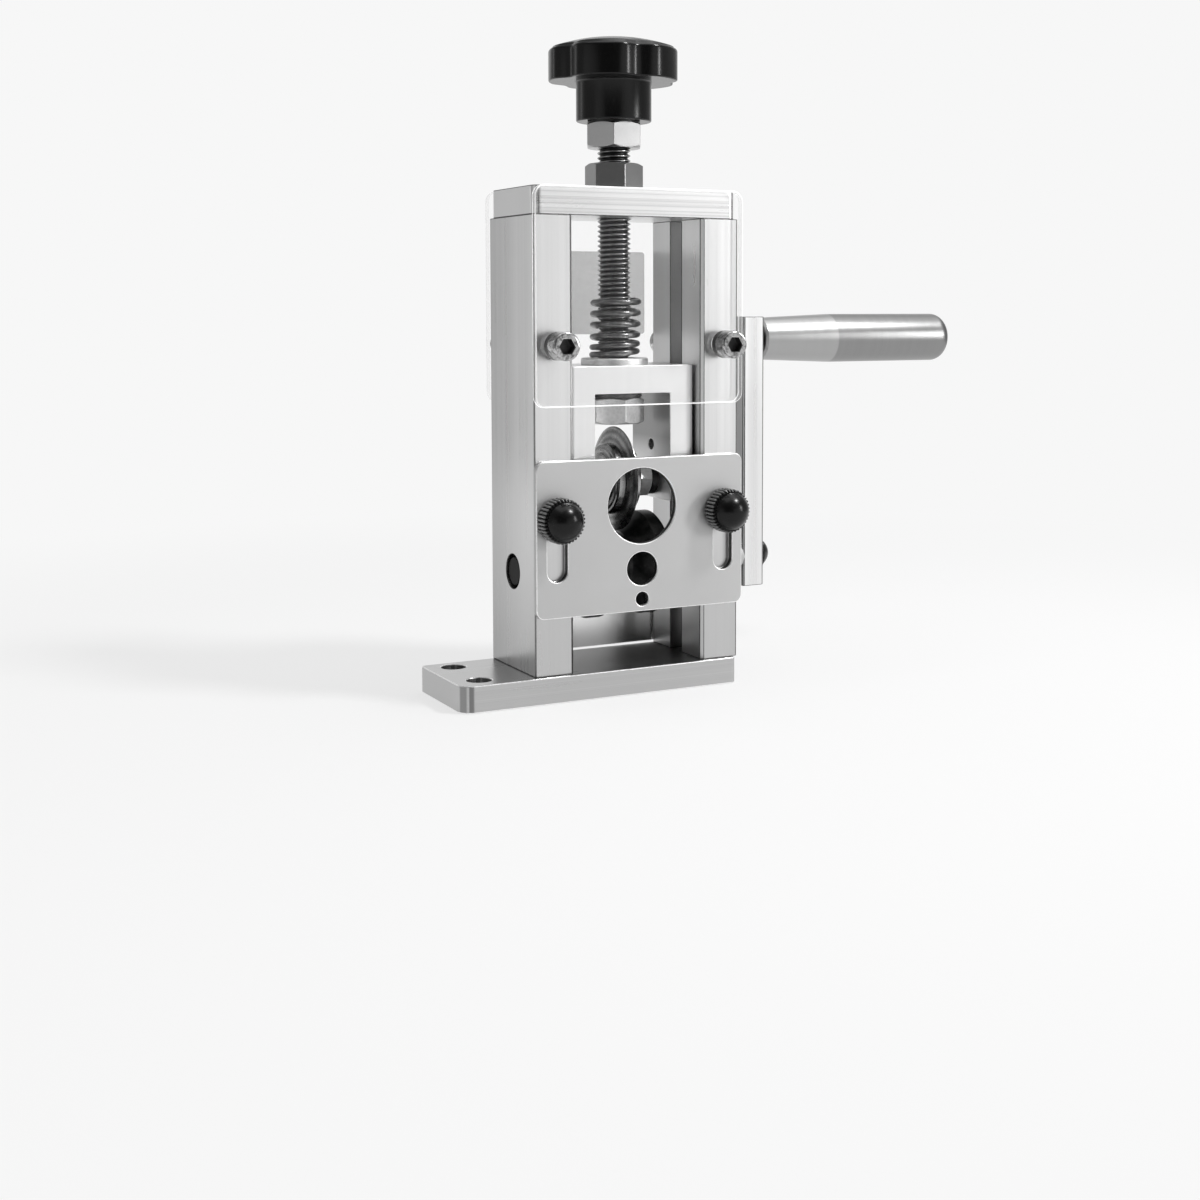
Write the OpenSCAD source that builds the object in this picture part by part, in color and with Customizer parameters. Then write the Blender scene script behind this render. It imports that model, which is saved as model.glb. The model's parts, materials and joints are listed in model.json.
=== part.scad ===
// Hand crank wire stripper. An aluminium frame holds a grooved feed roller, turned
// by a crank, and a blade carriage that a screw raises and lowers above it.
// Millimetres, X to the crank side, Y to the back, Z up. The origin lies on the
// bench, under the axis of the lifting screw.

/* [Base] */
// Thickness of the base plate
base_t = 9.5; // [6:0.5:14]
// Length of the flange that sticks out left of the frame
flange_l = 28; // [22:0.5:40]
// How far the frame overhangs the base on the crank side
frame_overhang = 1.5; // [0:0.5:3]
// How far the base stands out in front of the frame
base_lead = 2; // [0:0.5:8]
// How far the base stays short of the frame's back
base_tuck = 0.5; // [0:0.5:2]
// Corner radius at the left front of the base
base_corner_r = 5; // [2:0.5:8]
// Corner radius of the base's other corners
base_small_r = 1.5; // [0.5:0.5:4]
// Diameter of the two bench holes
bench_hole_d = 9; // [6:0.5:10]
// Distance from the flange's end to the bench holes
bench_hole_inset = 9.7; // [8:0.1:14]
// Distance between the bench holes
bench_hole_span = 24.5; // [16:0.5:26]
// How far the bench holes lie in front of the frame's middle
bench_hole_lead = 0.5; // [0:0.5:2]

/* [Frame] */
// Width over both side plates
frame_w = 81; // [76:1:100]
// Thickness of a side plate
wall_t = 15; // [14:0.5:16.5]
// Height of a side plate
side_h = 160.5; // [158:0.5:190]
// Width of the slide groove in a side plate
groove_w = 9; // [7:0.5:12]
// Depth of the slide groove
groove_depth = 5; // [4:0.5:6]
// Chamfer on the side plates' inner front and back edges
wall_chamfer = 1.2; // [0.4:0.2:2]
// Thickness of the top plate
top_t = 10; // [7:0.5:14]
// Corner radius of the top plate
top_corner_r = 3; // [1:0.5:5]
// How far the top plate stays inside the frame all round
top_inset = 0.4; // [0:0.1:1]
// Distance from front to back between the frame screws
frame_screw_span = 20; // [16:0.5:22]
// Diameter of the frame screws
frame_screw_d = 5; // [4:0.5:6]
// How deep the frame screws reach into a side plate
frame_screw_grip = 12; // [8:0.5:16]

/* [Feed roller and shaft] */
// Height of the shaft above the bench
shaft_z = 44.3; // [42:0.1:50]
// Diameter of the shaft
shaft_d = 10; // [9:0.5:11]
// Diameter of the feed roller
roller_d = 38; // [34:0.5:40]
// Width of the feed roller
roller_w = 28.4; // [24:0.2:30]
// Diameter at the bottom of the roller's groove
roller_root_d = 23.6; // [22:0.2:26]
// Width of the groove at its bottom
root_w = 3; // [2:0.5:4]
// Width of the groove at the roller's rim
mouth_w = 17; // [16:0.5:20]
// Outer diameter of a shaft bearing
bearing_d = 26; // [22:0.5:27]
// Width of a shaft bearing
bearing_w = 8; // [6:0.5:9]
// Diameter of the shaft's hole through a side plate
shaft_hole_d = 12.4; // [11.5:0.1:14]
// How far the shaft's left end lies inside the side plate
shaft_recess = 0.5; // [0:0.1:2]
// Outer diameter of the roller's spacers
roller_spacer_d = 14; // [13:0.5:18]
// Width of the shaft key
key_w = 3; // [2:0.5:3]
// Length of the shaft key
key_l = 20; // [12:1:22]

/* [Blade] */
// Diameter of the blade
blade_d = 38; // [34:0.5:40]
// Thickness of the blade at its hub
blade_t = 4; // [2:0.5:4.5]
// Thickness of the blade's edge
blade_edge_t = 0.3; // [0.2:0.1:0.6]
// Diameter where the blade's bevel starts
bevel_d = 25; // [22:0.5:28]
// Gap between the blade's edge and the bottom of the groove
blade_gap = 0.6; // [0.5:0.1:1.5]
// Diameter of the flanges that clamp the blade
blade_flange_d = 26; // [22:0.5:27]
// Thickness of a blade flange
blade_flange_t = 4; // [3:0.5:4.5]
// Diameter of the blade's axle
axle_d = 8; // [6:0.5:9]
// Width across flats of the blade nut
blade_nut_af = 13; // [12:0.5:15]

/* [Blade carriage] */
// Depth of the carriage from front to back
slider_d = 30; // [26:0.5:34]
// Thickness of the carriage's top bar
bar_t = 10; // [8:0.5:13]
// How far a leg reaches below the blade's axis
leg_drop = 7.7; // [7:0.1:9]
// Edge radius of the carriage
slider_r = 2; // [0.5:0.5:4]
// Gap between the carriage and a side plate
slide_gap = 0.5; // [0.3:0.1:0.8]
// Gap between a slide key and its groove
key_gap = 0.1; // [0.05:0.05:0.3]
// How far a slide key stays inside the carriage's ends
slide_key_inset = 2.2; // [1:0.2:6]
// Diameter of the slide keys' screws
key_screw_d = 4; // [3:0.5:4.5]
// Height of the lower key screw above the blade's axis
key_screw_rise = 12; // [11:0.5:14]
// Height of the upper key screw above the bar's lower face
key_screw_lift = 3.2; // [2.8:0.1:4]
// Outer diameter of the axle bushes
bush_d = 11; // [10.5:0.5:12.5]
// Diameter of the collar on an axle bush
bush_collar_d = 13; // [13:0.5:15]
// Thickness of that collar
bush_collar_l = 2.5; // [1:0.1:3]

/* [Lifting screw] */
// Diameter of the lifting screw
screw_d = 12; // [10:0.5:12.5]
// Width across flats of the screw's head
head_af = 19; // [17:0.5:20]
// Height of the screw's head
head_h = 9.5; // [7:0.5:11]
// Gap between the blade and the screw's head
head_gap = 1.2; // [0.6:0.1:2]
// Thickness of the thrust washer over the head
thrust_t = 1.8; // [1:0.1:3]
// Diameter of the thrust washer
thrust_d = 20; // [18:0.5:22]
// Diameter of the washer on top of the carriage
washer_d = 24.5; // [22:0.5:28]
// Thickness of that washer
washer_t = 2.4; // [1.5:0.1:3]
// Width across flats of the lock nut on the top plate
lock_nut_af = 18.4; // [17:0.1:20]
// Height of the lock nut
lock_nut_h = 9.8; // [7:0.1:12]
// Length of thread that shows between the two nuts
screw_show = 5.4; // [3:0.1:12]
// Width across flats of the jam nut under the knob
jam_nut_af = 19; // [17:0.5:20]
// Height of the jam nut
jam_nut_h = 9.2; // [6:0.1:12]

/* [Spring] */
// Outer diameter of the spring
spring_d = 18.5; // [18.3:0.1:20]
// Diameter of the spring's wire
wire_d = 2.1; // [1.6:0.1:2.2]
// Number of curls
spring_turns = 5.6; // [4:0.2:6]
// Rise of the first, nearly closed curl
closed_pitch = 2.7; // [2.7:0.1:3.2]
// Rise of the open curls
open_pitch = 4; // [3.6:0.1:4.6]
// How far the spring's top leans to the side
spring_lean = 0.6; // [0:0.1:0.6]
// How far the leaning curls dip on that side
spring_dip = 0.8; // [0:0.1:0.9]

/* [Knob] */
// Diameter over the knob's lobes
knob_d = 47; // [40:0.5:60]
// Number of lobes
lobes = 6; // [5:1:8]
// Depth of the hollows between the lobes
lobe_depth = 2.6; // [1:0.1:4]
// Height of the lobed rim
rim_h = 10.8; // [8:0.1:16]
// Height of the crowned top above the rim
crown_h = 3.7; // [2:0.1:5]
// Edge radius on top of the rim
rim_r = 1.6; // [0.5:0.1:2.5]
// Diameter of the knob's hub
hub_d = 27.6; // [22:0.2:32]
// Height of the hub under the rim
hub_h = 14.9; // [10:0.1:24]
// Diameter of the insert's face under the hub
insert_d = 18.6; // [17:0.1:20]
// Height of the insert's face
insert_h = 1.2; // [0.6:0.1:2]

/* [Guards] */
// How far the guards and the guide plate stand out past the frame's sides
guard_lap = 0.5; // [0:0.5:3]
// Gap between a guard and the guide plate at its highest
guard_gap = 0.5; // [0.2:0.1:4]
// Thickness of a guard
guard_t = 3; // [2:0.5:4]
// Corner radius of a guard
guard_r = 4; // [2:0.5:8]
// Height of the guard screws above the guard's lower edge
guard_screw_rise = 21.3; // [16:0.1:30]
// Diameter of the guard screws
guard_screw_d = 6; // [5:0.5:7]
// Diameter of the front guard screws' heads
guard_head_d = 10; // [9:0.5:12]
// Height of those heads
guard_head_h = 6; // [5:0.5:7]
// Thickness of the spring washers behind them
guard_washer_t = 2.4; // [1.5:0.1:3]
// Height of the low heads at the back
back_head_h = 4; // [3:0.5:5]
// How deep the guard screws reach into a side plate
guard_screw_grip = 10; // [7:0.5:12]

/* [Guide plate] */
// Height of the guide plate
guide_h = 55; // [50:0.5:55]
// Thickness of the guide plate
guide_t = 2.5; // [2:0.5:4]
// Height of the guide plate's lower edge above the bench
guide_z = 30; // [28:0.5:30]
// Corner radius of the guide plate
guide_r = 3; // [1:0.5:6]
// Diameter of the large feed hole
feed_hole_d = 27; // [22:0.5:28]
// Height of the large hole above the plate's lower edge
feed_hole_rise = 37.8; // [36:0.2:39]
// Diameter of the middle feed hole
mid_hole_d = 12; // [8:0.5:13]
// Height of the middle hole above the plate's lower edge
mid_hole_rise = 15.3; // [14:0.1:16]
// Diameter of the small feed hole
small_hole_d = 5; // [3:0.5:6]
// Height of the small hole above the plate's lower edge
small_hole_rise = 4.4; // [4:0.1:5]
// Width of the two clamp slots
slot_w = 7.7; // [6.5:0.1:9]
// Height of a slot's lower centre above the plate's lower edge
slot_rise = 16.6; // [12:0.1:20]
// How far the guide plate can slide up
guide_travel = 18; // [14:0.5:18]

/* [Thumb screws] */
// Diameter over the knurl of a thumb screw
thumb_d = 16; // [14:0.5:20]
// Length of the knurled drum
drum_l = 6.5; // [5:0.5:10]
// Diameter of the domed front
dome_d = 13.4; // [10:0.2:14]
// Height of the domed front
dome_h = 4.3; // [3:0.1:6]
// Number of ridges
ridges = 36; // [24:2:40]
// Diameter of the stud
stud_d = 6; // [5:0.5:6]
// How deep the stud reaches into a side plate
stud_grip = 12; // [8:0.5:13]

/* [Rear plate] */
// How far the plate that closes the lower back stays inside the frame's sides
rear_inset = 4.5; // [2:0.5:6]
// Height of its upper edge above the bench
rear_top = 50; // [46:0.5:52]
// Height of its lower edge above the bench
rear_z = 10.5; // [10:0.5:12]
// Thickness of the rear plate
rear_t = 2.5; // [2:0.5:4]
// Diameter of its screws
rear_screw_d = 4; // [3:0.5:5]

/* [Crank] */
// Distance from the shaft to the grip
crank_r = 81.9; // [70:0.1:100]
// Thickness of the crank arm
arm_t = 8; // [6:0.5:10]
// Width of the crank arm
arm_w = 16; // [14:0.5:22]
// Distance between the frame and the crank arm
arm_stand = 10.5; // [6:0.5:20]
// How far the arm reaches past the shaft
arm_tail = 11.3; // [9:0.1:14]
// How far the arm reaches past the grip
arm_tip = 8.4; // [8:0.1:12]
// Distance across the flats on the shaft's end
shaft_flat = 8; // [7:0.5:8.5]
// Height of the crank bolt's head
crank_bolt_h = 4.5; // [3:0.5:6]
// Diameter of the crank bolt's head
crank_bolt_d = 13.6; // [11:0.2:15]
// Length of the grip
grip_l = 86; // [70:1:100]
// Length of the grip's cone
grip_cone_l = 31.5; // [20:0.5:45]
// Largest diameter of the grip
grip_d = 18.6; // [17:0.2:24]
// Diameter of the grip at the arm
grip_neck_d = 16; // [14:0.2:17]
// Length of solid metal at the grip's end
grip_end_wall = 21.5; // [12:0.5:30]
// Radius of the grip's rounded end
grip_end_r = 6; // [2:0.5:8]
// Diameter of the grip's axle
pin_d = 8; // [6:0.5:8.5]
// Diameter of the collar between arm and grip
collar_d = 12; // [11:0.5:13.5]
// Thickness of that collar
collar_t = 1.2; // [0.8:0.2:3]

/* [Hidden] */

$fn = 72;
cut = 1;
fit_gap = 0.05;
seat_gap = 0.05;
spin_gap = 0.2;

wheel_room = 0.5;
frame_d = max(blade_d, roller_d) + 2 * wheel_room;
half_d = frame_d / 2;
inner_w = frame_w - 2 * wall_t;
wall_x = (frame_w - wall_t) / 2;
side_top = base_t + side_h;
top_z = side_top + top_t;
base_left = frame_w / 2 + flange_l;
base_right = frame_w / 2 - frame_overhang;
base_l = base_left + base_right;
base_d = frame_d + base_lead - base_tuck;
bench_hole_x = -base_left + bench_hole_inset;

cap_head_d = 1.7 * frame_screw_d;
cap_recess = 0.4;

axle_z = shaft_z + roller_root_d / 2 + blade_gap + blade_d / 2;
slider_w = inner_w - 2 * slide_gap;

// A carriage leg takes a fifth of the carriage's width
leg_t = slider_w / 5;
window_w = slider_w - 2 * leg_t;
slider_bottom = axle_z - leg_drop;
head_z = axle_z + blade_d / 2 + head_gap;
thrust_z = head_z + head_h + spin_gap;
bar_z = thrust_z + thrust_t;
slider_top = bar_z + bar_t;
spring_z = slider_top + washer_t;

// Between the blade and a bush's collar lie a flange and the nut or the spacer
stack_room = window_w / 2 - spin_gap - bush_collar_l - blade_t / 2;
blade_nut_h = stack_room - blade_flange_t;
stack_half = blade_t / 2 + stack_room;

slide_key_t = slide_gap + groove_depth - spin_gap;
slide_key_z = slider_bottom + slide_key_inset;
slide_key_l = slider_top - slider_bottom - 2 * slide_key_inset;
key_screw_z = [axle_z + key_screw_rise, bar_z + key_screw_lift];
key_screw_tip = 2;
key_head_d = 1.8 * key_screw_d;
key_head_h = 0.6 * key_screw_d;

lock_nut_top = top_z + lock_nut_h;
jam_nut_z = lock_nut_top + screw_show;
insert_z = jam_nut_z + jam_nut_h;
hub_z = insert_z + insert_h;
rim_z = hub_z + hub_h;
crown_z = rim_z + rim_h;
knob_top = crown_z + crown_h;
screw_top = rim_z + rim_h / 2;
insert_wall = 2.5;

guard_w = frame_w + 2 * guard_lap;
guard_z = guide_z + guide_h + guide_travel + guard_gap;
guard_h = top_z - guard_z;
guard_screw_z = guard_z + guard_screw_rise;
thumb_z = guide_z + slot_rise + guide_travel;
guide_front = half_d + seat_gap + guide_t;
thumb_back = guide_front + seat_gap;

rear_w = frame_w - 2 * rear_inset;
rear_screw_x = inner_w / 2 + (rear_w - inner_w) / 4;
rear_screw_z = [rear_z + 7, rear_top - 7];
rear_screw_grip = half_d - bearing_d / 2 - 1.5;
rear_head_d = 1.8 * rear_screw_d;
rear_head_h = 0.55 * rear_screw_d;

arm_x = frame_w / 2 + arm_stand;
arm_out = arm_x + arm_t;
grip_z = shaft_z + crank_r;
grip_x = arm_out + collar_t + spin_gap;
shaft_end_gap = 0.5;
crank_screw_d = 6;
crank_screw_l = 14;
pin_l = grip_l - grip_end_wall;
clip_t = 1;
clip_x = grip_x + pin_l - 5;
clip_d = pin_d + 2.4;

// A flat outline with round corners, centred on the origin
module round_rect(w, h, r) {
    square([w - 2 * r, h], center = true);
    square([w, h - 2 * r], center = true);
    for (x = [-1, 1])
        for (y = [-1, 1])
            translate([x * (w / 2 - r), y * (h / 2 - r)])
                circle(r);
}

// A cylinder along +X
module rod_x(d, l) {
    rotate([0, 90, 0])
        cylinder(d = d, h = l);
}

// A cylinder along +Y
module rod_y(d, l) {
    rotate([-90, 0, 0])
        cylinder(d = d, h = l);
}

// A hexagonal prism along +Z with chamfered ends, one hex corner at the given angle
module hex_body(af, h, turn) {
    corner_r = af / sqrt(3);
    flat_r = af / 2 - 0.2;
    past_r = corner_r + 1;
    rise = (past_r - flat_r) * 0.55;
    intersection() {
        rotate([0, 0, turn])
            cylinder(r = corner_r, h = h, $fn = 6);
        rotate_extrude()
            polygon([
                [0, 0], [flat_r, 0], [past_r, rise], [past_r, h - rise],
                [flat_r, h], [0, h]]);
    }
}

// A tube along +Z
module ring(outer, inner, h) {
    difference() {
        cylinder(d = outer, h = h);
        translate([0, 0, -cut])
            cylinder(d = inner, h = h + 2 * cut);
    }
}

// A socket head screw: the head's top at z = 0, the shank down to -reach
module cap_screw(d, head_d, head_h, reach, socket) {
    edge = 0.5;
    difference() {
        union() {
            rotate_extrude()
                polygon([
                    [0, 0], [head_d / 2 - edge, 0], [head_d / 2, -edge],
                    [head_d / 2, -head_h], [0, -head_h]]);
            translate([0, 0, -reach])
                cylinder(d = d, h = reach - head_h / 2);
        }
        translate([0, 0, -head_h * 0.55])
            cylinder(d = socket / cos(30), h = head_h, $fn = 6);
    }
}

module base_plate() color("gainsboro")
    difference() {
        linear_extrude(base_t)
            difference() {
                translate([(base_right - base_left) / 2, -half_d - base_lead + base_d / 2])
                    base_outline();
                for (y = [-1, 1])
                    translate([bench_hole_x, y * bench_hole_span / 2 - bench_hole_lead])
                        circle(d = bench_hole_d);
            }
        for (x = [-1, 1])
            for (y = [-1, 1])
                translate([x * wall_x, y * frame_screw_span / 2, -cut]) {
                    cylinder(d = frame_screw_d + 0.5, h = base_t + 2 * cut);
                    cylinder(d = cap_head_d + 0.5, h = frame_screw_d + cap_recess + cut);
                }
    }

// The base's outline: one large corner at the left front, small ones elsewhere
module base_outline() {
    difference() {
        round_rect(base_l, base_d, base_small_r);
        translate([-base_l / 2 - cut, -base_d / 2 - cut])
            square(base_corner_r + cut);
    }
    translate([-base_l / 2 + base_corner_r, -base_d / 2 + base_corner_r])
        circle(base_corner_r);
}

module wall_outline() {
    in_x = inner_w / 2;
    out_x = frame_w / 2;
    c = wall_chamfer;
    e = 0.4;
    polygon([
        [in_x + c, -half_d], [out_x - e, -half_d], [out_x, -half_d + e], [out_x, half_d - e],
        [out_x - e, half_d], [in_x + c, half_d], [in_x, half_d - c], [in_x, groove_w / 2],
        [in_x + groove_depth, groove_w / 2], [in_x + groove_depth, -groove_w / 2],
        [in_x, -groove_w / 2], [in_x, -half_d + c]]);
}

// The plate on the crank side; the other one is its mirror image
module side_plate() {
    difference() {
        translate([0, 0, base_t])
            linear_extrude(side_h)
                wall_outline();
        translate([inner_w / 2 - cut, 0, shaft_z])
            rod_x(shaft_hole_d, wall_t + 2 * cut);
        translate([inner_w / 2 - cut, 0, shaft_z])
            rod_x(bearing_d + 2 * fit_gap, bearing_w + cut);
        for (y = [-1, 1])
            for (z = [base_t - cut, side_top - frame_screw_grip - cut])
                translate([wall_x, y * frame_screw_span / 2, z])
                    cylinder(d = frame_screw_d + 2 * fit_gap, h = frame_screw_grip + 2 * cut);
        translate([wall_x, -half_d - cut, guard_screw_z])
            rod_y(guard_screw_d + 2 * fit_gap, guard_screw_grip + 2 * cut);
        translate([wall_x, half_d - guard_screw_grip - cut, guard_screw_z])
            rod_y(guard_screw_d + 2 * fit_gap, guard_screw_grip + 2 * cut);
        translate([wall_x, -half_d - cut, thumb_z])
            rod_y(stud_d + 2 * fit_gap, stud_grip + 2 * cut);
        for (z = rear_screw_z)
            translate([rear_screw_x, half_d - rear_screw_grip - fit_gap, z])
                rod_y(rear_screw_d + 2 * fit_gap, rear_screw_grip + cut);
    }
}

module right_side_plate() color("silver")
    side_plate();

module left_side_plate() color("silver")
    mirror([1, 0, 0])
        side_plate();

module top_plate() color("gainsboro")
    difference() {
        translate([0, 0, side_top])
            linear_extrude(top_t)
                difference() {
                    round_rect(frame_w - 2 * top_inset, frame_d - 2 * top_inset, top_corner_r);
                    circle(d = screw_d + 4 * fit_gap);
                }
        for (x = [-1, 1])
            for (y = [-1, 1])
                translate([x * wall_x, y * frame_screw_span / 2, side_top - cut]) {
                    cylinder(d = frame_screw_d + 0.5, h = top_t + 2 * cut);
                    translate([0, 0, cut + top_t - frame_screw_d - cap_recess])
                        cylinder(d = cap_head_d + 0.5, h = frame_screw_d + cap_recess + cut);
                }
    }

module frame_top_screws() color("dimgray")
    for (x = [-1, 1])
        for (y = [-1, 1])
            translate([x * wall_x, y * frame_screw_span / 2, top_z - cap_recess])
                cap_screw(frame_screw_d, cap_head_d, frame_screw_d,
                    top_t + frame_screw_grip - cap_recess, 0.8 * frame_screw_d);

module frame_base_screws() color("dimgray")
    for (x = [-1, 1])
        for (y = [-1, 1])
            translate([x * wall_x, y * frame_screw_span / 2, cap_recess])
                rotate([180, 0, 0])
                    cap_screw(frame_screw_d, cap_head_d, frame_screw_d,
                        base_t + frame_screw_grip - cap_recess, 0.8 * frame_screw_d);

module rear_plate() color("lightgray")
    translate([0, half_d + rear_t, (rear_z + rear_top) / 2])
        rotate([90, 0, 0])
            linear_extrude(rear_t)
                difference() {
                    round_rect(rear_w, rear_top - rear_z, guide_r);
                    for (x = [-1, 1])
                        for (z = rear_screw_z)
                            translate([x * rear_screw_x, z - (rear_z + rear_top) / 2])
                                circle(d = rear_screw_d + 0.4);
                }

module rear_plate_screws() color("darkgray")
    for (x = [-1, 1])
        for (z = rear_screw_z)
            translate([x * rear_screw_x, half_d + rear_t + rear_head_h, z])
                rotate([-90, 0, 0])
                    cap_screw(rear_screw_d, rear_head_d, rear_head_h,
                        rear_head_h + rear_t + rear_screw_grip, 0.6 * rear_screw_d);

// A clear guard lying in the plane y = 0 to y = guard_t
module guard_panel() {
    translate([0, guard_t, guard_z + guard_h / 2])
        rotate([90, 0, 0])
            linear_extrude(guard_t)
                difference() {
                    round_rect(guard_w, guard_h, guard_r);
                    for (x = [-1, 1])
                        translate([x * wall_x, guard_screw_rise - guard_h / 2])
                            circle(d = guard_screw_d + 0.4);
                }
}

module front_guard() color("lightblue", 0.4)
    translate([0, -half_d - guard_t, 0])
        guard_panel();

module back_guard() color("lightblue", 0.4)
    translate([0, half_d, 0])
        guard_panel();

module front_guard_screws() color("silver")
    for (x = [-1, 1])
        translate([x * wall_x, -half_d - guard_t - guard_washer_t - guard_head_h, guard_screw_z])
            rotate([90, 0, 0])
                cap_screw(guard_screw_d, guard_head_d, guard_head_h,
                    guard_head_h + guard_washer_t + guard_t + guard_screw_grip, 0.84 * guard_screw_d);

// Split spring washers, each with its cut at the top
module front_guard_washers() color("dimgray")
    for (x = [-1, 1])
        translate([x * wall_x, -half_d - guard_t, guard_screw_z])
            rotate([90, 0, 0])
                difference() {
                    ring(guard_head_d, guard_screw_d + 2 * fit_gap, guard_washer_t);
                    translate([-0.4, guard_screw_d / 4, -cut])
                        cube([0.8, guard_head_d, guard_washer_t + 2 * cut]);
                }

module back_guard_screws() color("silver")
    for (x = [-1, 1])
        translate([x * wall_x, half_d + guard_t + back_head_h, guard_screw_z])
            rotate([-90, 0, 0])
                cap_screw(guard_screw_d, guard_head_d, back_head_h,
                    back_head_h + guard_t + guard_screw_grip, 0.6 * guard_screw_d);

module guide_plate() color("lightgray")
    translate([0, -half_d - seat_gap, guide_z])
        rotate([90, 0, 0])
            linear_extrude(guide_t)
                difference() {
                    translate([0, guide_h / 2])
                        round_rect(guard_w, guide_h, guide_r);
                    translate([0, feed_hole_rise])
                        circle(d = feed_hole_d);
                    translate([0, mid_hole_rise])
                        circle(d = mid_hole_d);
                    translate([0, small_hole_rise])
                        circle(d = small_hole_d);
                    for (x = [-1, 1])
                        translate([x * wall_x, slot_rise]) {
                            circle(d = slot_w);
                            translate([-slot_w / 2, 0])
                                square([slot_w, guide_travel]);
                            translate([0, guide_travel])
                                circle(d = slot_w);
                        }
                }

// The knurled drum's outline: ridges with a flat crest
module knurl_outline() {
    depth = 0.8;
    step = 360 / ridges;
    polygon([
        for (i = [0 : ridges - 1])
            for (p = [[0, -depth], [0.3, 0], [0.7, 0]])
                (thumb_d / 2 + p[1]) * [cos((i + p[0]) * step), sin((i + p[0]) * step)]]);
}

// A thumb screw's head along +Z, its back face at z = 0
module thumb_head() {
    edge = 0.9;
    lip = 0.8;
    dome_r = (pow(dome_d / 2, 2) + pow(dome_h, 2)) / (2 * dome_h);
    difference() {
        union() {
            intersection() {
                linear_extrude(drum_l)
                    knurl_outline();
                rotate_extrude()
                    polygon([[0, 0], [thumb_d / 2 - edge, 0], [thumb_d / 2, edge],
                        [thumb_d / 2, drum_l - edge], [thumb_d / 2 - edge, drum_l], [0, drum_l]]);
            }
            translate([0, 0, drum_l - lip])
                cylinder(d = dome_d, h = 2 * lip);
            intersection() {
                translate([0, 0, drum_l + lip + dome_h - dome_r])
                    sphere(dome_r);
                translate([0, 0, drum_l])
                    cylinder(d = dome_d, h = lip + dome_h + cut);
            }
        }
        translate([0, 0, -cut])
            cylinder(d = stud_d + 2 * fit_gap, h = drum_l + cut);
    }
}

module thumb_knob(side) {
    translate([side * wall_x, -thumb_back, thumb_z])
        rotate([90, 0, 0])
            thumb_head();
}

module thumb_stud(side) {
    translate([side * wall_x, -thumb_back - drum_l + fit_gap, thumb_z])
        rod_y(stud_d, drum_l - fit_gap + seat_gap + guide_t + seat_gap + stud_grip);
}

module left_thumb_knob() color("black")
    thumb_knob(-1);

module left_thumb_stud() color("gray")
    thumb_stud(-1);

module right_thumb_knob() color("black")
    thumb_knob(1);

module right_thumb_stud() color("gray")
    thumb_stud(1);

// A shielded bearing along +Z, its shields sunk below the rings
module bearing() {
    race = (bearing_d - shaft_d) / 5;
    sunk = 0.5;
    inner = shaft_d / 2 + fit_gap;
    outer = bearing_d / 2;
    rotate_extrude()
        polygon([
            [inner, 0], [inner + race / 2, 0], [inner + race / 2, sunk], [outer - race, sunk],
            [outer - race, 0], [outer, 0], [outer, bearing_w], [outer - race, bearing_w],
            [outer - race, bearing_w - sunk], [inner + race / 2, bearing_w - sunk],
            [inner + race / 2, bearing_w], [inner, bearing_w]]);
}

module right_shaft_bearing() color("darkgray")
    translate([inner_w / 2, 0, shaft_z])
        rotate([0, 90, 0])
            bearing();

module left_shaft_bearing() color("darkgray")
    mirror([1, 0, 0])
        translate([inner_w / 2, 0, shaft_z])
            rotate([0, 90, 0])
                bearing();

// The key lies in the top of the shaft, under the roller
module key_shape(grow) {
    translate([-key_l / 2 - grow, -key_w / 2 - grow, shaft_z + shaft_d / 2 - key_w / 2 - grow])
        cube([key_l + 2 * grow, key_w + 2 * grow, key_w + 2 * grow]);
}

module shaft_key() color("dimgray")
    key_shape(0);

module drive_shaft() color("dimgray")
    difference() {
        translate([-frame_w / 2 + shaft_recess, 0, shaft_z])
            rod_x(shaft_d, frame_w / 2 - shaft_recess + arm_out - shaft_end_gap);
        key_shape(0.02);
        for (side = [-1, 1])
            translate([arm_x, side * (shaft_flat / 2 + cut) - cut, shaft_z - shaft_d / 2 - cut])
                cube([arm_t + cut, 2 * cut, shaft_d + 2 * cut]);
        translate([arm_out - crank_screw_l - cut, 0, shaft_z])
            rod_x(crank_screw_d + 2 * fit_gap, crank_screw_l + 2 * cut);
    }

// Half of the roller's section: from the groove's flat root out to the right face
module roller_half_section() {
    edge = 0.8;
    half_w = roller_w / 2;
    rim = roller_d / 2;
    bore = shaft_d / 2 + fit_gap;
    polygon([
        [bore, 0], [roller_root_d / 2, 0], [roller_root_d / 2, root_w / 2], [rim, mouth_w / 2],
        [rim, half_w - edge], [rim - edge, half_w], [bore, half_w]]);
}

// The roller is made of two halves that meet at the bottom of the groove
module roller_half() {
    difference() {
        translate([0, 0, shaft_z])
            rotate([0, 90, 0])
                rotate_extrude()
                    roller_half_section();
        key_shape(0.05);
    }
}

module right_roller_half() color("black")
    roller_half();

module left_roller_half() color("black")
    mirror([1, 0, 0])
        roller_half();

// A spacer between the roller and a bearing's inner ring
module roller_spacer() {
    translate([roller_w / 2, 0, shaft_z])
        rotate([0, 90, 0])
            ring(roller_spacer_d, shaft_d + 2 * fit_gap, (inner_w - roller_w) / 2 - spin_gap);
}

module right_roller_spacer() color("gray")
    roller_spacer();

module left_roller_spacer() color("gray")
    mirror([1, 0, 0])
        roller_spacer();

module crank_spacer() color("gray")
    translate([frame_w / 2 + spin_gap, 0, shaft_z])
        rotate([0, 90, 0])
            ring(arm_w, shaft_d + 2 * fit_gap, arm_stand - spin_gap);

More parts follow.
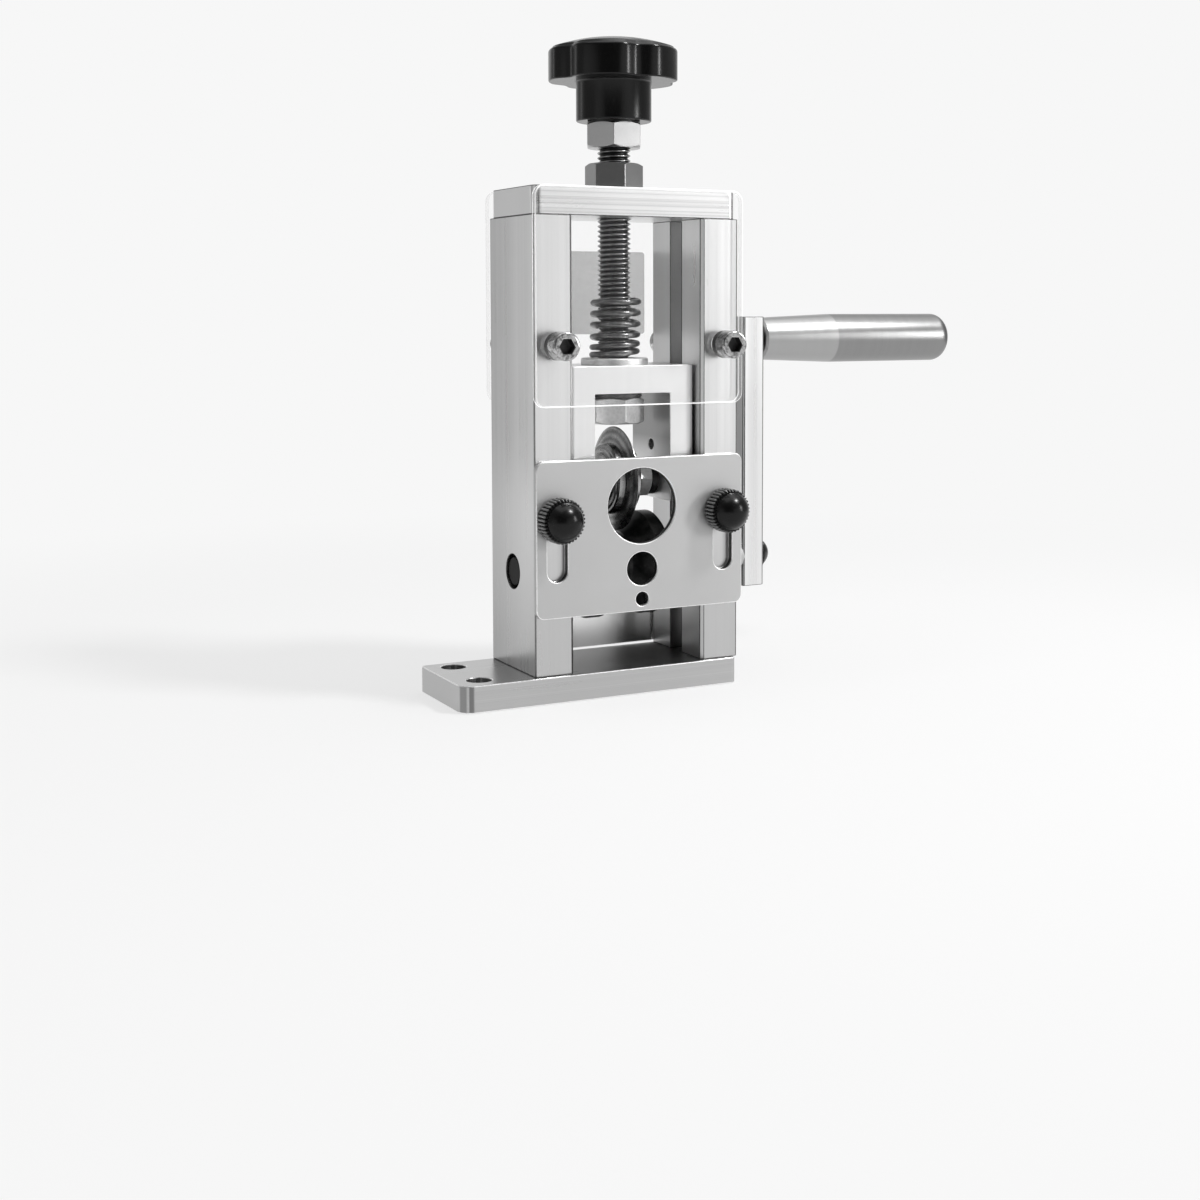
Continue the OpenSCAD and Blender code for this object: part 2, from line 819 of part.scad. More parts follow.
// A bar with chamfered edges along X, as the crank arm is
module arm_bar() {
    e = 0.5;
    h = arm_tail + crank_r + arm_tip;
    w = arm_w / 2;
    translate([0, 0, shaft_z - arm_tail])
        linear_extrude(h)
            polygon([
                [arm_x + e, -w], [arm_out - e, -w], [arm_out, -w + e], [arm_out, w - e],
                [arm_out - e, w], [arm_x + e, w], [arm_x, w - e], [arm_x, -w + e]]);
}

module crank_arm() color("gainsboro")
    difference() {
        arm_bar();
        intersection() {
            translate([arm_x - cut, 0, shaft_z])
                rod_x(shaft_d + 2 * fit_gap, arm_t + 2 * cut);
            translate([arm_x - cut, -shaft_flat / 2 - fit_gap, shaft_z - shaft_d])
                cube([arm_t + 2 * cut, shaft_flat + 2 * fit_gap, 2 * shaft_d]);
        }
        translate([arm_x - cut, 0, grip_z])
            rod_x(pin_d + 2 * fit_gap, arm_t + 2 * cut);
    }

// A button head with a thin flange, and its shank in the shaft's end
module crank_bolt() color("black")
    translate([arm_out, 0, shaft_z])
        rotate([0, 90, 0]) {
            flange_t = 1.1;
            cap_h = crank_bolt_h - flange_t;
            cap_d = crank_bolt_d - 1.6;
            cap_r = (pow(cap_d / 2, 2) + pow(cap_h, 2)) / (2 * cap_h);
            difference() {
                union() {
                    cylinder(d = crank_bolt_d, h = flange_t);
                    intersection() {
                        translate([0, 0, crank_bolt_h - cap_r])
                            sphere(cap_r);
                        translate([0, 0, flange_t - cut])
                            cylinder(d = cap_d, h = cap_h + 2 * cut);
                    }
                }
                translate([0, 0, crank_bolt_h * 0.4])
                    cylinder(d = 4.6, h = crank_bolt_h, $fn = 6);
            }
            translate([0, 0, -crank_screw_l])
                cylinder(d = crank_screw_d, h = crank_screw_l + flange_t / 2);
        }

module grip_axle() color("gray")
    translate([arm_x, 0, grip_z])
        rotate([0, 90, 0])
            difference() {
                union() {
                    cylinder(d = pin_d, h = grip_x + pin_l - arm_x);
                    translate([0, 0, arm_t])
                        cylinder(d = collar_d, h = collar_t);
                }
                translate([0, 0, clip_x - arm_x - 0.1])
                    ring(pin_d + 2 * cut, pin_d - 1.4, clip_t + 0.2);
            }

// An open retaining ring that keeps the grip on its axle
module grip_clip() color("black")
    translate([clip_x, 0, grip_z])
        rotate([0, 90, 0])
            difference() {
                ring(clip_d, pin_d - 1.2, clip_t);
                translate([0, -1.2, -cut])
                    cube([clip_d, 2.4, clip_t + 2 * cut]);
            }

// The grip's outline: a cone from the arm, then a cylinder with a rounded end
module grip_section() {
    lip = 0.8;
    big = grip_d / 2;
    steps = 12;
    polygon(concat(
        [[0, 0], [grip_neck_d / 2 - lip, 0], [grip_neck_d / 2, lip], [big, grip_cone_l]],
        [for (i = [0 : steps])
            [big - grip_end_r + grip_end_r * cos(90 * i / steps),
                grip_l - grip_end_r + grip_end_r * sin(90 * i / steps)]],
        [[0, grip_l]]));
}

module crank_grip() color("silver")
    translate([grip_x, 0, grip_z])
        rotate([0, 90, 0])
            difference() {
                rotate_extrude()
                    grip_section();
                translate([0, 0, -cut])
                    cylinder(d = pin_d + 2 * fit_gap, h = pin_l + 2 + cut);
                translate([0, 0, clip_x - grip_x - 0.4])
                    cylinder(d = clip_d + 0.6, h = clip_t + 0.8);
            }

// The carriage seen from above: a block with round vertical edges
module carriage_outline() {
    round_rect(slider_w, slider_d, slider_r);
}

module blade_carriage() color("silver")
    difference() {
        translate([0, 0, slider_bottom])
            linear_extrude(slider_top - slider_bottom)
                carriage_outline();
        translate([-window_w / 2, -slider_d, slider_bottom - cut])
            cube([window_w, 2 * slider_d, bar_z - slider_bottom + cut]);
        translate([0, 0, bar_z - cut])
            cylinder(d = screw_d + 4 * fit_gap, h = bar_t + 2 * cut);
        for (side = [0, 1])
            mirror([side, 0, 0]) {
                translate([window_w / 2 - cut, 0, axle_z])
                    rod_x(bush_d + 2 * fit_gap, leg_t + 2 * cut);
                translate([window_w / 2 - cut, 0, key_screw_z[0]])
                    rod_x(key_screw_d + 2 * fit_gap, leg_t + 2 * cut);
                translate([slider_w / 2 - leg_t + key_screw_tip, 0, key_screw_z[1]])
                    rod_x(key_screw_d + 2 * fit_gap, leg_t);
            }
    }

// A key on the carriage's right cheek; it runs in the side plate's groove
module slide_key() {
    w = groove_w - 2 * key_gap;
    difference() {
        translate([slider_w / 2, -w / 2, slide_key_z])
            cube([slide_key_t, w, slide_key_l]);
        for (z = key_screw_z) {
            translate([slider_w / 2 - cut, 0, z])
                rod_x(key_screw_d + 0.3, slide_key_t + 2 * cut);
            translate([slider_w / 2 + slide_key_t - key_head_h - 0.3, 0, z])
                rod_x(key_head_d + 0.3, key_head_h + cut);
        }
    }
}

module right_slide_key() color("darkgray")
    slide_key();

module left_slide_key() color("darkgray")
    mirror([1, 0, 0])
        slide_key();

module slide_key_screws() color("dimgray")
    for (side = [0, 1])
        mirror([side, 0, 0])
            for (z = key_screw_z)
                translate([slider_w / 2 + slide_key_t - 0.3, 0, z])
                    rotate([0, 90, 0])
                        cap_screw(key_screw_d, key_head_d, key_head_h,
                            slide_key_t - 0.3 + leg_t - key_screw_tip, 0.55 * key_screw_d);

// A bush in a carriage leg, its collar towards the blade
module axle_bush() {
    translate([window_w / 2 - bush_collar_l, 0, axle_z])
        rotate([0, 90, 0])
            difference() {
                union() {
                    cylinder(d = bush_collar_d, h = bush_collar_l);
                    cylinder(d = bush_d, h = bush_collar_l + leg_t - spin_gap);
                }
                translate([0, 0, -cut])
                    cylinder(d = axle_d + 2 * fit_gap, h = bush_collar_l + leg_t + 2 * cut);
            }
}

module right_axle_bush() color("black")
    axle_bush();

module left_axle_bush() color("black")
    mirror([1, 0, 0])
        axle_bush();

// The blade's section: a hub, then a straight bevel on both sides
module blade_section() {
    bore = axle_d / 2 + fit_gap;
    polygon([
        [bore, -blade_t / 2], [bevel_d / 2, -blade_t / 2], [blade_d / 2, -blade_edge_t / 2],
        [blade_d / 2, blade_edge_t / 2], [bevel_d / 2, blade_t / 2], [bore, blade_t / 2]]);
}

module blade_disc() color("dimgray")
    translate([0, 0, axle_z])
        rotate([0, 90, 0])
            rotate_extrude()
                blade_section();

// A turned flange with two steps, its blade side at z = 0
module flange_section() {
    bore = axle_d / 2 + fit_gap;
    rim = blade_flange_d / 2;
    step = 0.7;
    t = blade_flange_t;
    polygon([
        [bore, 0], [rim, 0], [rim, t - 2 * step], [rim - step, t - step], [rim - 3 * step, t - step],
        [rim - 4 * step, t], [bore, t]]);
}

module blade_flange() {
    translate([blade_t / 2, 0, axle_z])
        rotate([0, 90, 0])
            rotate_extrude()
                flange_section();
}

module right_blade_flange() color("gray")
    blade_flange();

module left_blade_flange() color("gray")
    mirror([1, 0, 0])
        blade_flange();

module blade_nut() color("gray")
    translate([blade_t / 2 + blade_flange_t, 0, axle_z])
        rotate([0, 90, 0])
            difference() {
                hex_body(blade_nut_af, blade_nut_h, 30);
                translate([0, 0, -cut])
                    cylinder(d = axle_d + 2 * fit_gap, h = blade_nut_h + 2 * cut);
            }

module blade_spacer() color("gray")
    translate([-stack_half, 0, axle_z])
        rotate([0, 90, 0])
            ring(blade_nut_af, axle_d + 2 * fit_gap, blade_nut_h);

module blade_axle() color("dimgray")
    translate([-slider_w / 2 + spin_gap, 0, axle_z])
        rod_x(axle_d, slider_w - 2 * spin_gap);

module carriage_washer() color("silver")
    translate([0, 0, slider_top])
        ring(washer_d, screw_d + 1, washer_t);

module thrust_washer() color("black")
    translate([0, 0, thrust_z])
        ring(thrust_d, screw_d + 1, thrust_t);

// The spring is swept from rings along its own centre line. Its height at a
// turn: one closed curl, an even change over the next, then open curls.
ring_sides = 6;
rings_per_turn = 8;
function spring_rise(u) = u < 1 ? closed_pitch * u
    : u < 2 ? closed_pitch * u + (open_pitch - closed_pitch) * pow(u - 1, 2) / 2
    : closed_pitch * 2 + (open_pitch - closed_pitch) / 2 + open_pitch * (u - 2);
coil_r = (spring_d - wire_d) / 2;
spring_start = 150;
lean_dir = -28;
function ease(t) = t <= 0 ? 0 : t >= 1 ? 1 : t * t * (3 - 2 * t);
function spring_turn(u) = spring_start + 360 * u;
function spring_shift(u) = spring_lean * u / spring_turns;
function on_coil(u) = [
    coil_r * cos(spring_turn(u)) + spring_shift(u) * cos(lean_dir),
    coil_r * sin(spring_turn(u)) + spring_shift(u) * sin(lean_dir),
    spring_z + wire_d / 2 + 0.02 + spring_rise(u)
        - spring_dip * ease((u - 1) / 2) * cos(spring_turn(u) - lean_dir)];
function unit(v) = v / norm(v);
coil_rings = ceil(spring_turns * rings_per_turn);
coil_points = [for (i = [0 : coil_rings]) on_coil(i * spring_turns / coil_rings)];
first_dir = unit([-sin(spring_start), cos(spring_start), 0]);
last_turn = spring_turn(spring_turns);
last_dir = unit([-sin(last_turn), cos(last_turn), 0]);
spring_path = concat(
    [coil_points[0] - wire_d * first_dir],
    coil_points,
    [coil_points[coil_rings] + wire_d * last_dir]);

// Sweeps a closed tube along a path, each ring square to the path
function path_dir(path, i) = unit(path[min(i + 1, len(path) - 1)] - path[max(i - 1, 0)]);
function ring_points(path, i, r) =
    let (d = path_dir(path, i), side = unit(cross(d, [0, 0, 1])), up = cross(side, d))
    [for (k = [0 : ring_sides - 1])
        path[i] + r * (cos((k + 0.5) * 360 / ring_sides) * side + sin((k + 0.5) * 360 / ring_sides) * up)];
module tube(path, r) {
    n = len(path);
    s = ring_sides;
    points = [for (i = [0 : n - 1]) each ring_points(path, i, r)];
    walls = [for (i = [0 : n - 2])
        for (k = [0 : s - 1])
            let (a = i * s + k, b = i * s + (k + 1) % s)
            each [[a, b, b + s], [a, b + s, a + s]]];
    caps = concat(
        [for (k = [1 : s - 2]) [0, k + 1, k]],
        [for (k = [1 : s - 2]) [(n - 1) * s, (n - 1) * s + k, (n - 1) * s + k + 1]]);
    polyhedron(points = points, faces = concat(walls, caps));
}

// The least distance between turns of the path that are not neighbours
apart = rings_per_turn / 2;
spring_gap = min([
    for (i = [0 : len(spring_path) - 1])
        for (j = [i + apart : 1 : len(spring_path) - 1])
            norm(spring_path[i] - spring_path[j])]) - wire_d;
echo(least_spring_gap = spring_gap);

module lift_spring() color("dimgray")
    tube(spring_path, wire_d / 2);

module lifting_screw() color("dimgray")
    union() {
        translate([0, 0, head_z])
            hex_body(head_af, head_h, 23.3);
        translate([0, 0, head_z + head_h / 2])
            cylinder(d = screw_d, h = screw_top - head_z - head_h / 2);
    }

module nut(af, h, turn) {
    difference() {
        hex_body(af, h, turn);
        translate([0, 0, -cut])
            cylinder(d = screw_d + 2 * fit_gap, h = h + 2 * cut);
    }
}

module lock_nut() color("gray")
    translate([0, 0, top_z])
        nut(lock_nut_af, lock_nut_h, 25.6);

module jam_nut() color("silver")
    translate([0, 0, jam_nut_z])
        nut(jam_nut_af, jam_nut_h, 3.6);

// The lobed rim's outline: a circle with a narrow hollow between each two lobes
module star_outline() {
    points_per_lobe = 24;
    n = lobes * points_per_lobe;
    first_hollow = 135;
    polygon([
        for (i = [0 : n - 1])
            let (a = 360 * i / n, wave = pow((1 + cos(lobes * (a - first_hollow))) / 2, 4))
            (knob_d / 2 - lobe_depth * wave) * [cos(a), sin(a)]]);
}

// The rim's side section with its crowned top, from the axis outwards
module crown_section() {
    crown_r = (pow(knob_d / 2, 2) + pow(crown_h, 2)) / (2 * crown_h);
    difference() {
        union() {
            square([knob_d / 2, rim_h - rim_r]);
            square([knob_d / 2 - rim_r, rim_h]);
            translate([knob_d / 2 - rim_r, rim_h - rim_r])
                circle(rim_r);
            intersection() {
                translate([0, rim_h + crown_h - crown_r])
                    circle(crown_r, $fn = 180);
                translate([0, rim_h - rim_r])
                    square([knob_d / 2 - rim_r, rim_r + crown_h + cut]);
            }
        }
        translate([-knob_d, -cut])
            square([knob_d, rim_h + crown_h + 2 * cut]);
    }
}

module star_knob() color("black")
    difference() {
        union() {
            translate([0, 0, rim_z])
                intersection() {
                    linear_extrude(rim_h + crown_h)
                        star_outline();
                    rotate_extrude()
                        crown_section();
                }
            translate([0, 0, hub_z])
                cylinder(d = hub_d, h = hub_h + rim_h / 2);
        }
        translate([0, 0, hub_z - cut])
            cylinder(d = screw_d + 2 * insert_wall, h = screw_top - hub_z + cut + fit_gap);
    }

// A threaded metal insert moulded into the knob; its face stands below the hub
module knob_insert() color("dimgray")
    difference() {
        union() {
            translate([0, 0, insert_z])
                cylinder(d = insert_d, h = insert_h);
            translate([0, 0, hub_z - insert_h / 2])
                cylinder(d = screw_d + 2 * insert_wall - 2 * fit_gap, h = screw_top - hub_z + insert_h / 2);
        }
        translate([0, 0, insert_z - cut])
            cylinder(d = screw_d + 2 * fit_gap, h = screw_top);
    }

base_plate();
left_side_plate();
right_side_plate();
top_plate();
rear_plate();
rear_plate_screws();
frame_top_screws();
frame_base_screws();
front_guard();
back_guard();
front_guard_screws();
front_guard_washers();
back_guard_screws();
guide_plate();
left_thumb_knob();
left_thumb_stud();
right_thumb_knob();
right_thumb_stud();
left_shaft_bearing();
right_shaft_bearing();
drive_shaft();
shaft_key();
left_roller_half();
right_roller_half();
left_roller_spacer();
right_roller_spacer();
crank_spacer();
crank_arm();
crank_bolt();
grip_axle();
grip_clip();
crank_grip();
blade_carriage();
left_slide_key();
right_slide_key();
slide_key_screws();
left_axle_bush();
right_axle_bush();
carriage_washer();
thrust_washer();
lift_spring();
lifting_screw();
lock_nut();
jam_nut();
star_knob();
knob_insert();
blade_disc();
blade_axle();
left_blade_flange();
right_blade_flange();
blade_spacer();
blade_nut();
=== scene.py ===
import json
import bmesh
import bpy
from math import atan2, cos, hypot, pi, radians, sin, sqrt
from mathutils import Matrix, Vector


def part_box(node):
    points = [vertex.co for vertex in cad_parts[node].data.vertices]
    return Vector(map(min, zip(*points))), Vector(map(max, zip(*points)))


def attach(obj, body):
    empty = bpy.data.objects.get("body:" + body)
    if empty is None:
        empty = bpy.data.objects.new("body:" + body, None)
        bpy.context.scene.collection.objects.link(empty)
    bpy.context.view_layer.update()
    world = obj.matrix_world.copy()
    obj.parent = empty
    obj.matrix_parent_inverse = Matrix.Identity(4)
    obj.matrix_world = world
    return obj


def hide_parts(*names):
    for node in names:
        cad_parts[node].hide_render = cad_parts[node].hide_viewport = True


# Hand crank wire stripper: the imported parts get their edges, threads, knurls and finishes here.
# Shapes are modelled in millimetres and made metres when a piece is finished.

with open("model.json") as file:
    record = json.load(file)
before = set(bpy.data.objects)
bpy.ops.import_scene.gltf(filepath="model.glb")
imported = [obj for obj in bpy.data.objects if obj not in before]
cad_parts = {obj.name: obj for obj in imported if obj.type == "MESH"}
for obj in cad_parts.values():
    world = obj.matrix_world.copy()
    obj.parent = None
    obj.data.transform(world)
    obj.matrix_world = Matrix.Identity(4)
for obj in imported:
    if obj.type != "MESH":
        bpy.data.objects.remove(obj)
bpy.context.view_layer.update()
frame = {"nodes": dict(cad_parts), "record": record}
scene = bpy.context.scene
scene.view_settings.view_transform = "Standard"
print("frame loaded,", len(frame["nodes"]), "parts")

# Camera

cameraSetup = {
    "place": (-276.128, -557.769, 138.215),
    "tilt": 86,            # degrees from straight down
    "turn": -28.342,
    "lens": 51.181,
    "sensor": 36,
    "shift": (-0.06172, -0.14477),
    "clipEnd": 50,         # metres
}


def makeCamera(setup):
    lens = bpy.data.cameras.new("camera")
    lens.lens = setup["lens"]
    lens.sensor_width = setup["sensor"]
    lens.shift_x, lens.shift_y = setup["shift"]
    lens.clip_end = setup["clipEnd"]
    camera = bpy.data.objects.new("camera", lens)
    camera.location = Vector(setup["place"]) / 1000
    camera.rotation_euler = (radians(setup["tilt"]), 0, radians(setup["turn"]))
    scene.collection.objects.link(camera)
    scene.camera = camera


makeCamera(cameraSetup)

# Where parts are, in millimetres


def boxOf(node):
    low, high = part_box(node)
    return low * 1000, high * 1000


def middleOf(node):
    low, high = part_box(node)
    return tuple((low + high) * 500)


# A direction from its azimuth, 0 being straight in front and 90 the crank side, and its height in degrees
def compass(azimuth, height):
    return (sin(radians(azimuth)) * cos(radians(height)), -cos(radians(azimuth)) * cos(radians(height)),
            sin(radians(height)))


def grey(level):
    return (level, level, level, 1)


# Shader maths: a wrapped socket takes + - * and **, and add makes every other node


class Wire:
    def __init__(self, maker, socket):
        self.maker = maker
        self.socket = socket

    def maths(self, operation, first, second):
        return self.maker.add("ShaderNodeMath", {"operation": operation}, {0: first, 1: second})

    def __add__(self, other):
        return self.maths("ADD", self, other)

    def __radd__(self, other):
        return self.maths("ADD", other, self)

    def __sub__(self, other):
        return self.maths("SUBTRACT", self, other)

    def __rsub__(self, other):
        return self.maths("SUBTRACT", other, self)

    def __mul__(self, other):
        return self.maths("MULTIPLY", self, other)

    def __rmul__(self, other):
        return self.maths("MULTIPLY", other, self)

    def __pow__(self, other):
        return self.maths("POWER", self, other)

    def __rpow__(self, other):
        return self.maths("POWER", other, self)


class NodeMaker:
    def __init__(self, tree):
        self.tree = tree
        tree.nodes.clear()

    def add(self, kind, settings=None, sockets=None, out=0):
        node = self.tree.nodes.new(kind)
        for key, value in (settings or {}).items():
            setattr(node, key, value)
        for key, value in (sockets or {}).items():
            if isinstance(value, Wire):
                self.tree.links.new(value.socket, node.inputs[key])
            else:
                node.inputs[key].default_value = value
        return Wire(self, node.outputs[out]) if node.outputs else None

    # One of a vector's three numbers
    def part(self, vector, letter):
        return self.add("ShaderNodeSeparateXYZ", None, {0: vector}, out="xyz".index(letter))

    def length(self, vector):
        return self.add("ShaderNodeVectorMath", {"operation": "LENGTH"}, {0: vector}, out=1)

    def mixColour(self, factor, first, second):
        return self.add("ShaderNodeMix", {"data_type": "RGBA"}, {0: factor, 6: first, 7: second}, out=2)

    def clamp(self, value, low=0, high=1):
        return self.add("ShaderNodeClamp", None, {"Value": value, "Min": low, "Max": high})

    def smooth(self, value, low, high):
        return self.add("ShaderNodeMapRange", {"interpolation_type": "SMOOTHSTEP"},
                        {"Value": value, "From Min": low, "From Max": high})

    # 1 where a direction lies within the inner angle of a compass bearing, 0 past the outer angle
    def patch(self, direction, azimuth, height, outer, inner):
        facing = self.add("ShaderNodeVectorMath", {"operation": "DOT_PRODUCT"},
                          {0: direction, 1: compass(azimuth, height)}, out=1)
        return self.smooth(facing, cos(radians(outer)), cos(radians(inner)))


finishes = {}   # materials by name


class Finish(NodeMaker):
    def __init__(self, name):
        finishes[name] = bpy.data.materials.new(name)
        finishes[name].use_nodes = True
        super().__init__(finishes[name].node_tree)
        self.place = self.add("ShaderNodeTexCoord", out=3)
        self.normal = self.add("ShaderNodeTexCoord", out=1)

    # Noise on the piece's own coordinates; stretch gives the grains per metre along X, Y and Z
    def grain(self, stretch, detail=2, roughness=0.5, shift=(0, 0, 0)):
        moved = self.add("ShaderNodeMapping", None,
                         {"Vector": self.place, "Location": shift, "Scale": stretch})
        return self.add("ShaderNodeTexNoise", None,
                        {"Vector": moved, "Scale": 1, "Detail": detail, "Roughness": roughness})

    # Distance from an axis through a point given in millimetres, in metres
    def fromAxis(self, axis, centre):
        keep = tuple(0 if letter == axis else 1 for letter in "xyz")
        moved = self.add("ShaderNodeVectorMath", {"operation": "SUBTRACT"},
                         {0: self.place, 1: tuple(c / 1000 for c in centre)})
        return self.length(self.add("ShaderNodeVectorMath", {"operation": "MULTIPLY"}, {0: moved, 1: keep}))

    def bump(self, height, strength, distance):
        return self.add("ShaderNodeBump", None,
                        {"Height": height, "Strength": strength, "Distance": distance})

    def surface(self, **sockets):
        named = {key.replace("_", " "): value for key, value in sockets.items()}
        self.link(self.add("ShaderNodeBsdfPrincipled", None, named))

    def link(self, shader):
        self.add("ShaderNodeOutputMaterial", None, {"Surface": shader})


# Finishes. Lengths are in metres, and a grain's stretch is in grains per metre.

# Where brushed metal changes: places along Y and Z where painted shade grows at the back and the foot, how
# squarely a face looks one way, and kinds of stroke
brushing = {
    "back": (-0.016, 0.02),
    "foot": (0.015, 0.12),
    "leftLook": (0.5, 0.9),
    "sawnLook": (0.3, 0.8),
    "hairLength": 1.2,
    "streakLength": 0.3,
    "streaks": 330,
    "clouds": 28,
}


# Fine brushing along one axis: bright metal with hairlines, slow cloudy streaks and a few deeper scratches.
# A pair of shares gives the painted shade at the back and at the foot. A share and two heights give the painted
# shade on faces that look left, starting between those heights. Stripes of painted dark reflection round a
# corner are each given as an azimuth, a spread in degrees and a share.
def brushed(name, along, light=0.88, dark=0.72, rough=0.3, relief=0.22, paintedShade=(0, 0), fine=2600, lines=0.16,
            left=(0, -0.02, -0.01), paintedReflectionStripes=(), size=brushing):
    finish = Finish(name)
    height = finish.part(finish.place, "z")
    # Painted shade grows towards the back and towards the foot
    back = finish.smooth(finish.part(finish.place, "y"), *size["back"])
    foot = 1 - finish.smooth(height, *size["foot"])
    # Painted shade on faces that look left, starting between two heights
    paintedLeftShade = finish.smooth(0 - finish.part(finish.normal, "x"), *size["leftLook"])
    paintedLeftShade = paintedLeftShade * finish.smooth(height, left[1], left[2])
    facing = finish.part(finish.normal, along)
    side = 1 - finish.smooth(facing * facing, *size["sawnLook"])   # 0 on the sawn ends, which aren't brushed
    hair = tuple(size["hairLength"] if letter == along else fine for letter in "xyz")
    streak = tuple(size["streakLength"] if letter == along else size["streaks"] for letter in "xyz")
    hairs = finish.grain(hair, detail=3, roughness=0.7)
    streaks = finish.grain(streak, detail=3, shift=(3, 1, 2))
    clouds = finish.grain((size["clouds"],) * 3, detail=2, shift=(0, 5, 0))
    strokes = (finish.smooth(hairs, 0.36, 0.64) - 0.5) * lines + (streaks - 0.5) * 0.8
    tone = finish.clamp(0.5 + strokes * side + (clouds - 0.5) * 0.15)
    wearAndPaintedLight = finish.mixColour(tone, grey(dark), grey(light))
    shade = back * paintedShade[0] + foot * paintedShade[1] + paintedLeftShade * left[0]
    # Painted dark reflections: stripes round a rounded corner
    for azimuth, spread, share in paintedReflectionStripes:
        shade = finish.patch(finish.normal, azimuth, 0, spread, spread / 2) * share + shade
    colour = finish.mixColour(finish.clamp(shade), wearAndPaintedLight, grey(dark * 0.5))
    roughness = rough + (streaks - 0.5) * side * 0.16 + (clouds - 0.5) * 0.08
    normal = finish.bump((hairs * 0.5 + streaks) * side, relief, 0.00006)
    finish.surface(Base_Color=colour, Metallic=1, Roughness=roughness, Normal=normal)


# Marks of a lathe tool around the X axis: rings along the length; the cone is coloured brighter than the
# cylinder that starts at shoulder
def turned(name, shoulder, light=0.33, dark=0.22, bright=0.6, change=0.0004):
    finish = Finish(name)
    cone = 1 - finish.smooth(finish.part(finish.place, "x"), shoulder - change, shoulder + change)
    rings = finish.grain((5200, 0.5, 0.5), detail=3, roughness=0.75)
    bands = finish.grain((260, 0.5, 0.5), detail=2, shift=(7, 0, 0))
    wearAndPaintedLight = finish.mixColour(finish.clamp(rings * 0.7 + bands * 0.5 - 0.1), grey(dark), grey(light))
    colour = finish.mixColour(cone * 0.35, wearAndPaintedLight, grey(bright))
    normal = finish.bump(rings + bands * 0.4, 0.25, 0.00005)
    finish.surface(Base_Color=colour, Metallic=1, Roughness=0.33 + (bands - 0.5) * 0.1, Normal=normal)


# Bead blasted sheet with a soft even tone
def satin(name, light=0.54, dark=0.48, rough=0.5):
    finish = Finish(name)
    speck = finish.grain((5200, 5200, 5200), detail=2, roughness=0.6)
    clouds = finish.grain((45, 45, 45), detail=3)
    colour = finish.mixColour(finish.clamp(clouds * 0.8 + speck * 0.3), grey(dark), grey(light))
    normal = finish.bump(speck, 0.25, 0.00004)
    finish.surface(Base_Color=colour, Metallic=0.85, Roughness=rough + (clouds - 0.5) * 0.12,
                   Normal=normal)


# Zinc plating: a mottle of small crystals, light stains and soft dents
def zinc(name, light=0.72, dark=0.42, rough=0.32, relief=0.3):
    finish = Finish(name)
    moved = finish.add("ShaderNodeMapping", None, {"Vector": finish.place, "Scale": (900, 900, 900)})
    crystals = finish.add("ShaderNodeTexVoronoi", {"feature": "F1"}, {"Vector": moved, "Scale": 1}, out=0)
    stains = finish.grain((190, 190, 190), detail=4, roughness=0.6)
    fine = finish.grain((2600, 2600, 2600), detail=2)
    mottle = finish.clamp(crystals * 0.35 + stains * 0.9 - 0.12)
    colour = finish.mixColour(mottle, grey(dark), grey(light))
    normal = finish.bump(stains + fine * 0.3 + crystals * 0.2, relief, 0.00012)
    finish.surface(Base_Color=colour, Metallic=1, Roughness=rough + (stains - 0.5) * relief,
                   Normal=normal)


# Oiled or blackened steel: dark, with rubbed patches where the oil is thin
def darkSteel(name, light=0.2, dark=0.06, rough=0.34, metallic=0.9, relief=0.25):
    finish = Finish(name)
    rubbedAndPaintedLight = finish.grain((320, 320, 320), detail=4, roughness=0.6)
    fine = finish.grain((3000, 3000, 3000), detail=2)
    colour = finish.mixColour(finish.smooth(rubbedAndPaintedLight, 0.35, 0.7), grey(dark), grey(light))
    normal = finish.bump(rubbedAndPaintedLight + fine * 0.4, relief, 0.00008)
    finish.surface(Base_Color=colour, Metallic=metallic, Roughness=rough + (rubbedAndPaintedLight - 0.5) * relief,
                   Normal=normal)


# Rolled thread around Z: the crests are painted bright, as highlight, and the roots painted dark, as shade;
# root and crest are radii in millimetres
def threaded(name, root, crest, light=0.5, dark=0.035):
    finish = Finish(name)
    rubbedAndPaintedLight = finish.grain((500, 500, 500), detail=3)
    # Painted highlight on the crests and painted shade in the roots, by distance from the axis
    wearAndPaintedLight = finish.smooth(finish.fromAxis("z", (0, 0, 0)) * 1000 + (rubbedAndPaintedLight - 0.5) * 0.25, root, crest)
    colour = finish.mixColour(wearAndPaintedLight ** 2, grey(dark), grey(light))
    normal = finish.bump(rubbedAndPaintedLight, 0.1, 0.00006)
    finish.surface(Base_Color=colour, Metallic=1, Roughness=0.36 - wearAndPaintedLight * 0.1, Normal=normal)


# Faced on a lathe: rings around an axis along X through the blade, fine ones and broad ones, with their pitch
# in millimetres
def faced(name, centre, light=0.42, dark=0.08, pitch=0.42, broadPitch=2.6, rough=0.26):
    finish = Finish(name)
    radius = finish.fromAxis("x", centre)
    wobble = finish.grain((40, 240, 240), detail=2)
    wave, broad = [finish.add("ShaderNodeMath", {"operation": "SINE"},
                              {0: radius * (2 * pi / length * 1000) + wobble * sway})
                   for length, sway in ((pitch, 5), (broadPitch, 2))]
    tone = finish.clamp(0.5 + wave * 0.2 + broad * 0.28 + (wobble - 0.5) * 0.6)
    colour = finish.mixColour(tone, grey(dark), grey(light))
    normal = finish.bump(wave * 0.5 + broad, 0.3, 0.00006)
    finish.surface(Base_Color=colour, Metallic=1, Roughness=rough + (wobble - 0.5) * 0.2,
                   Normal=normal)


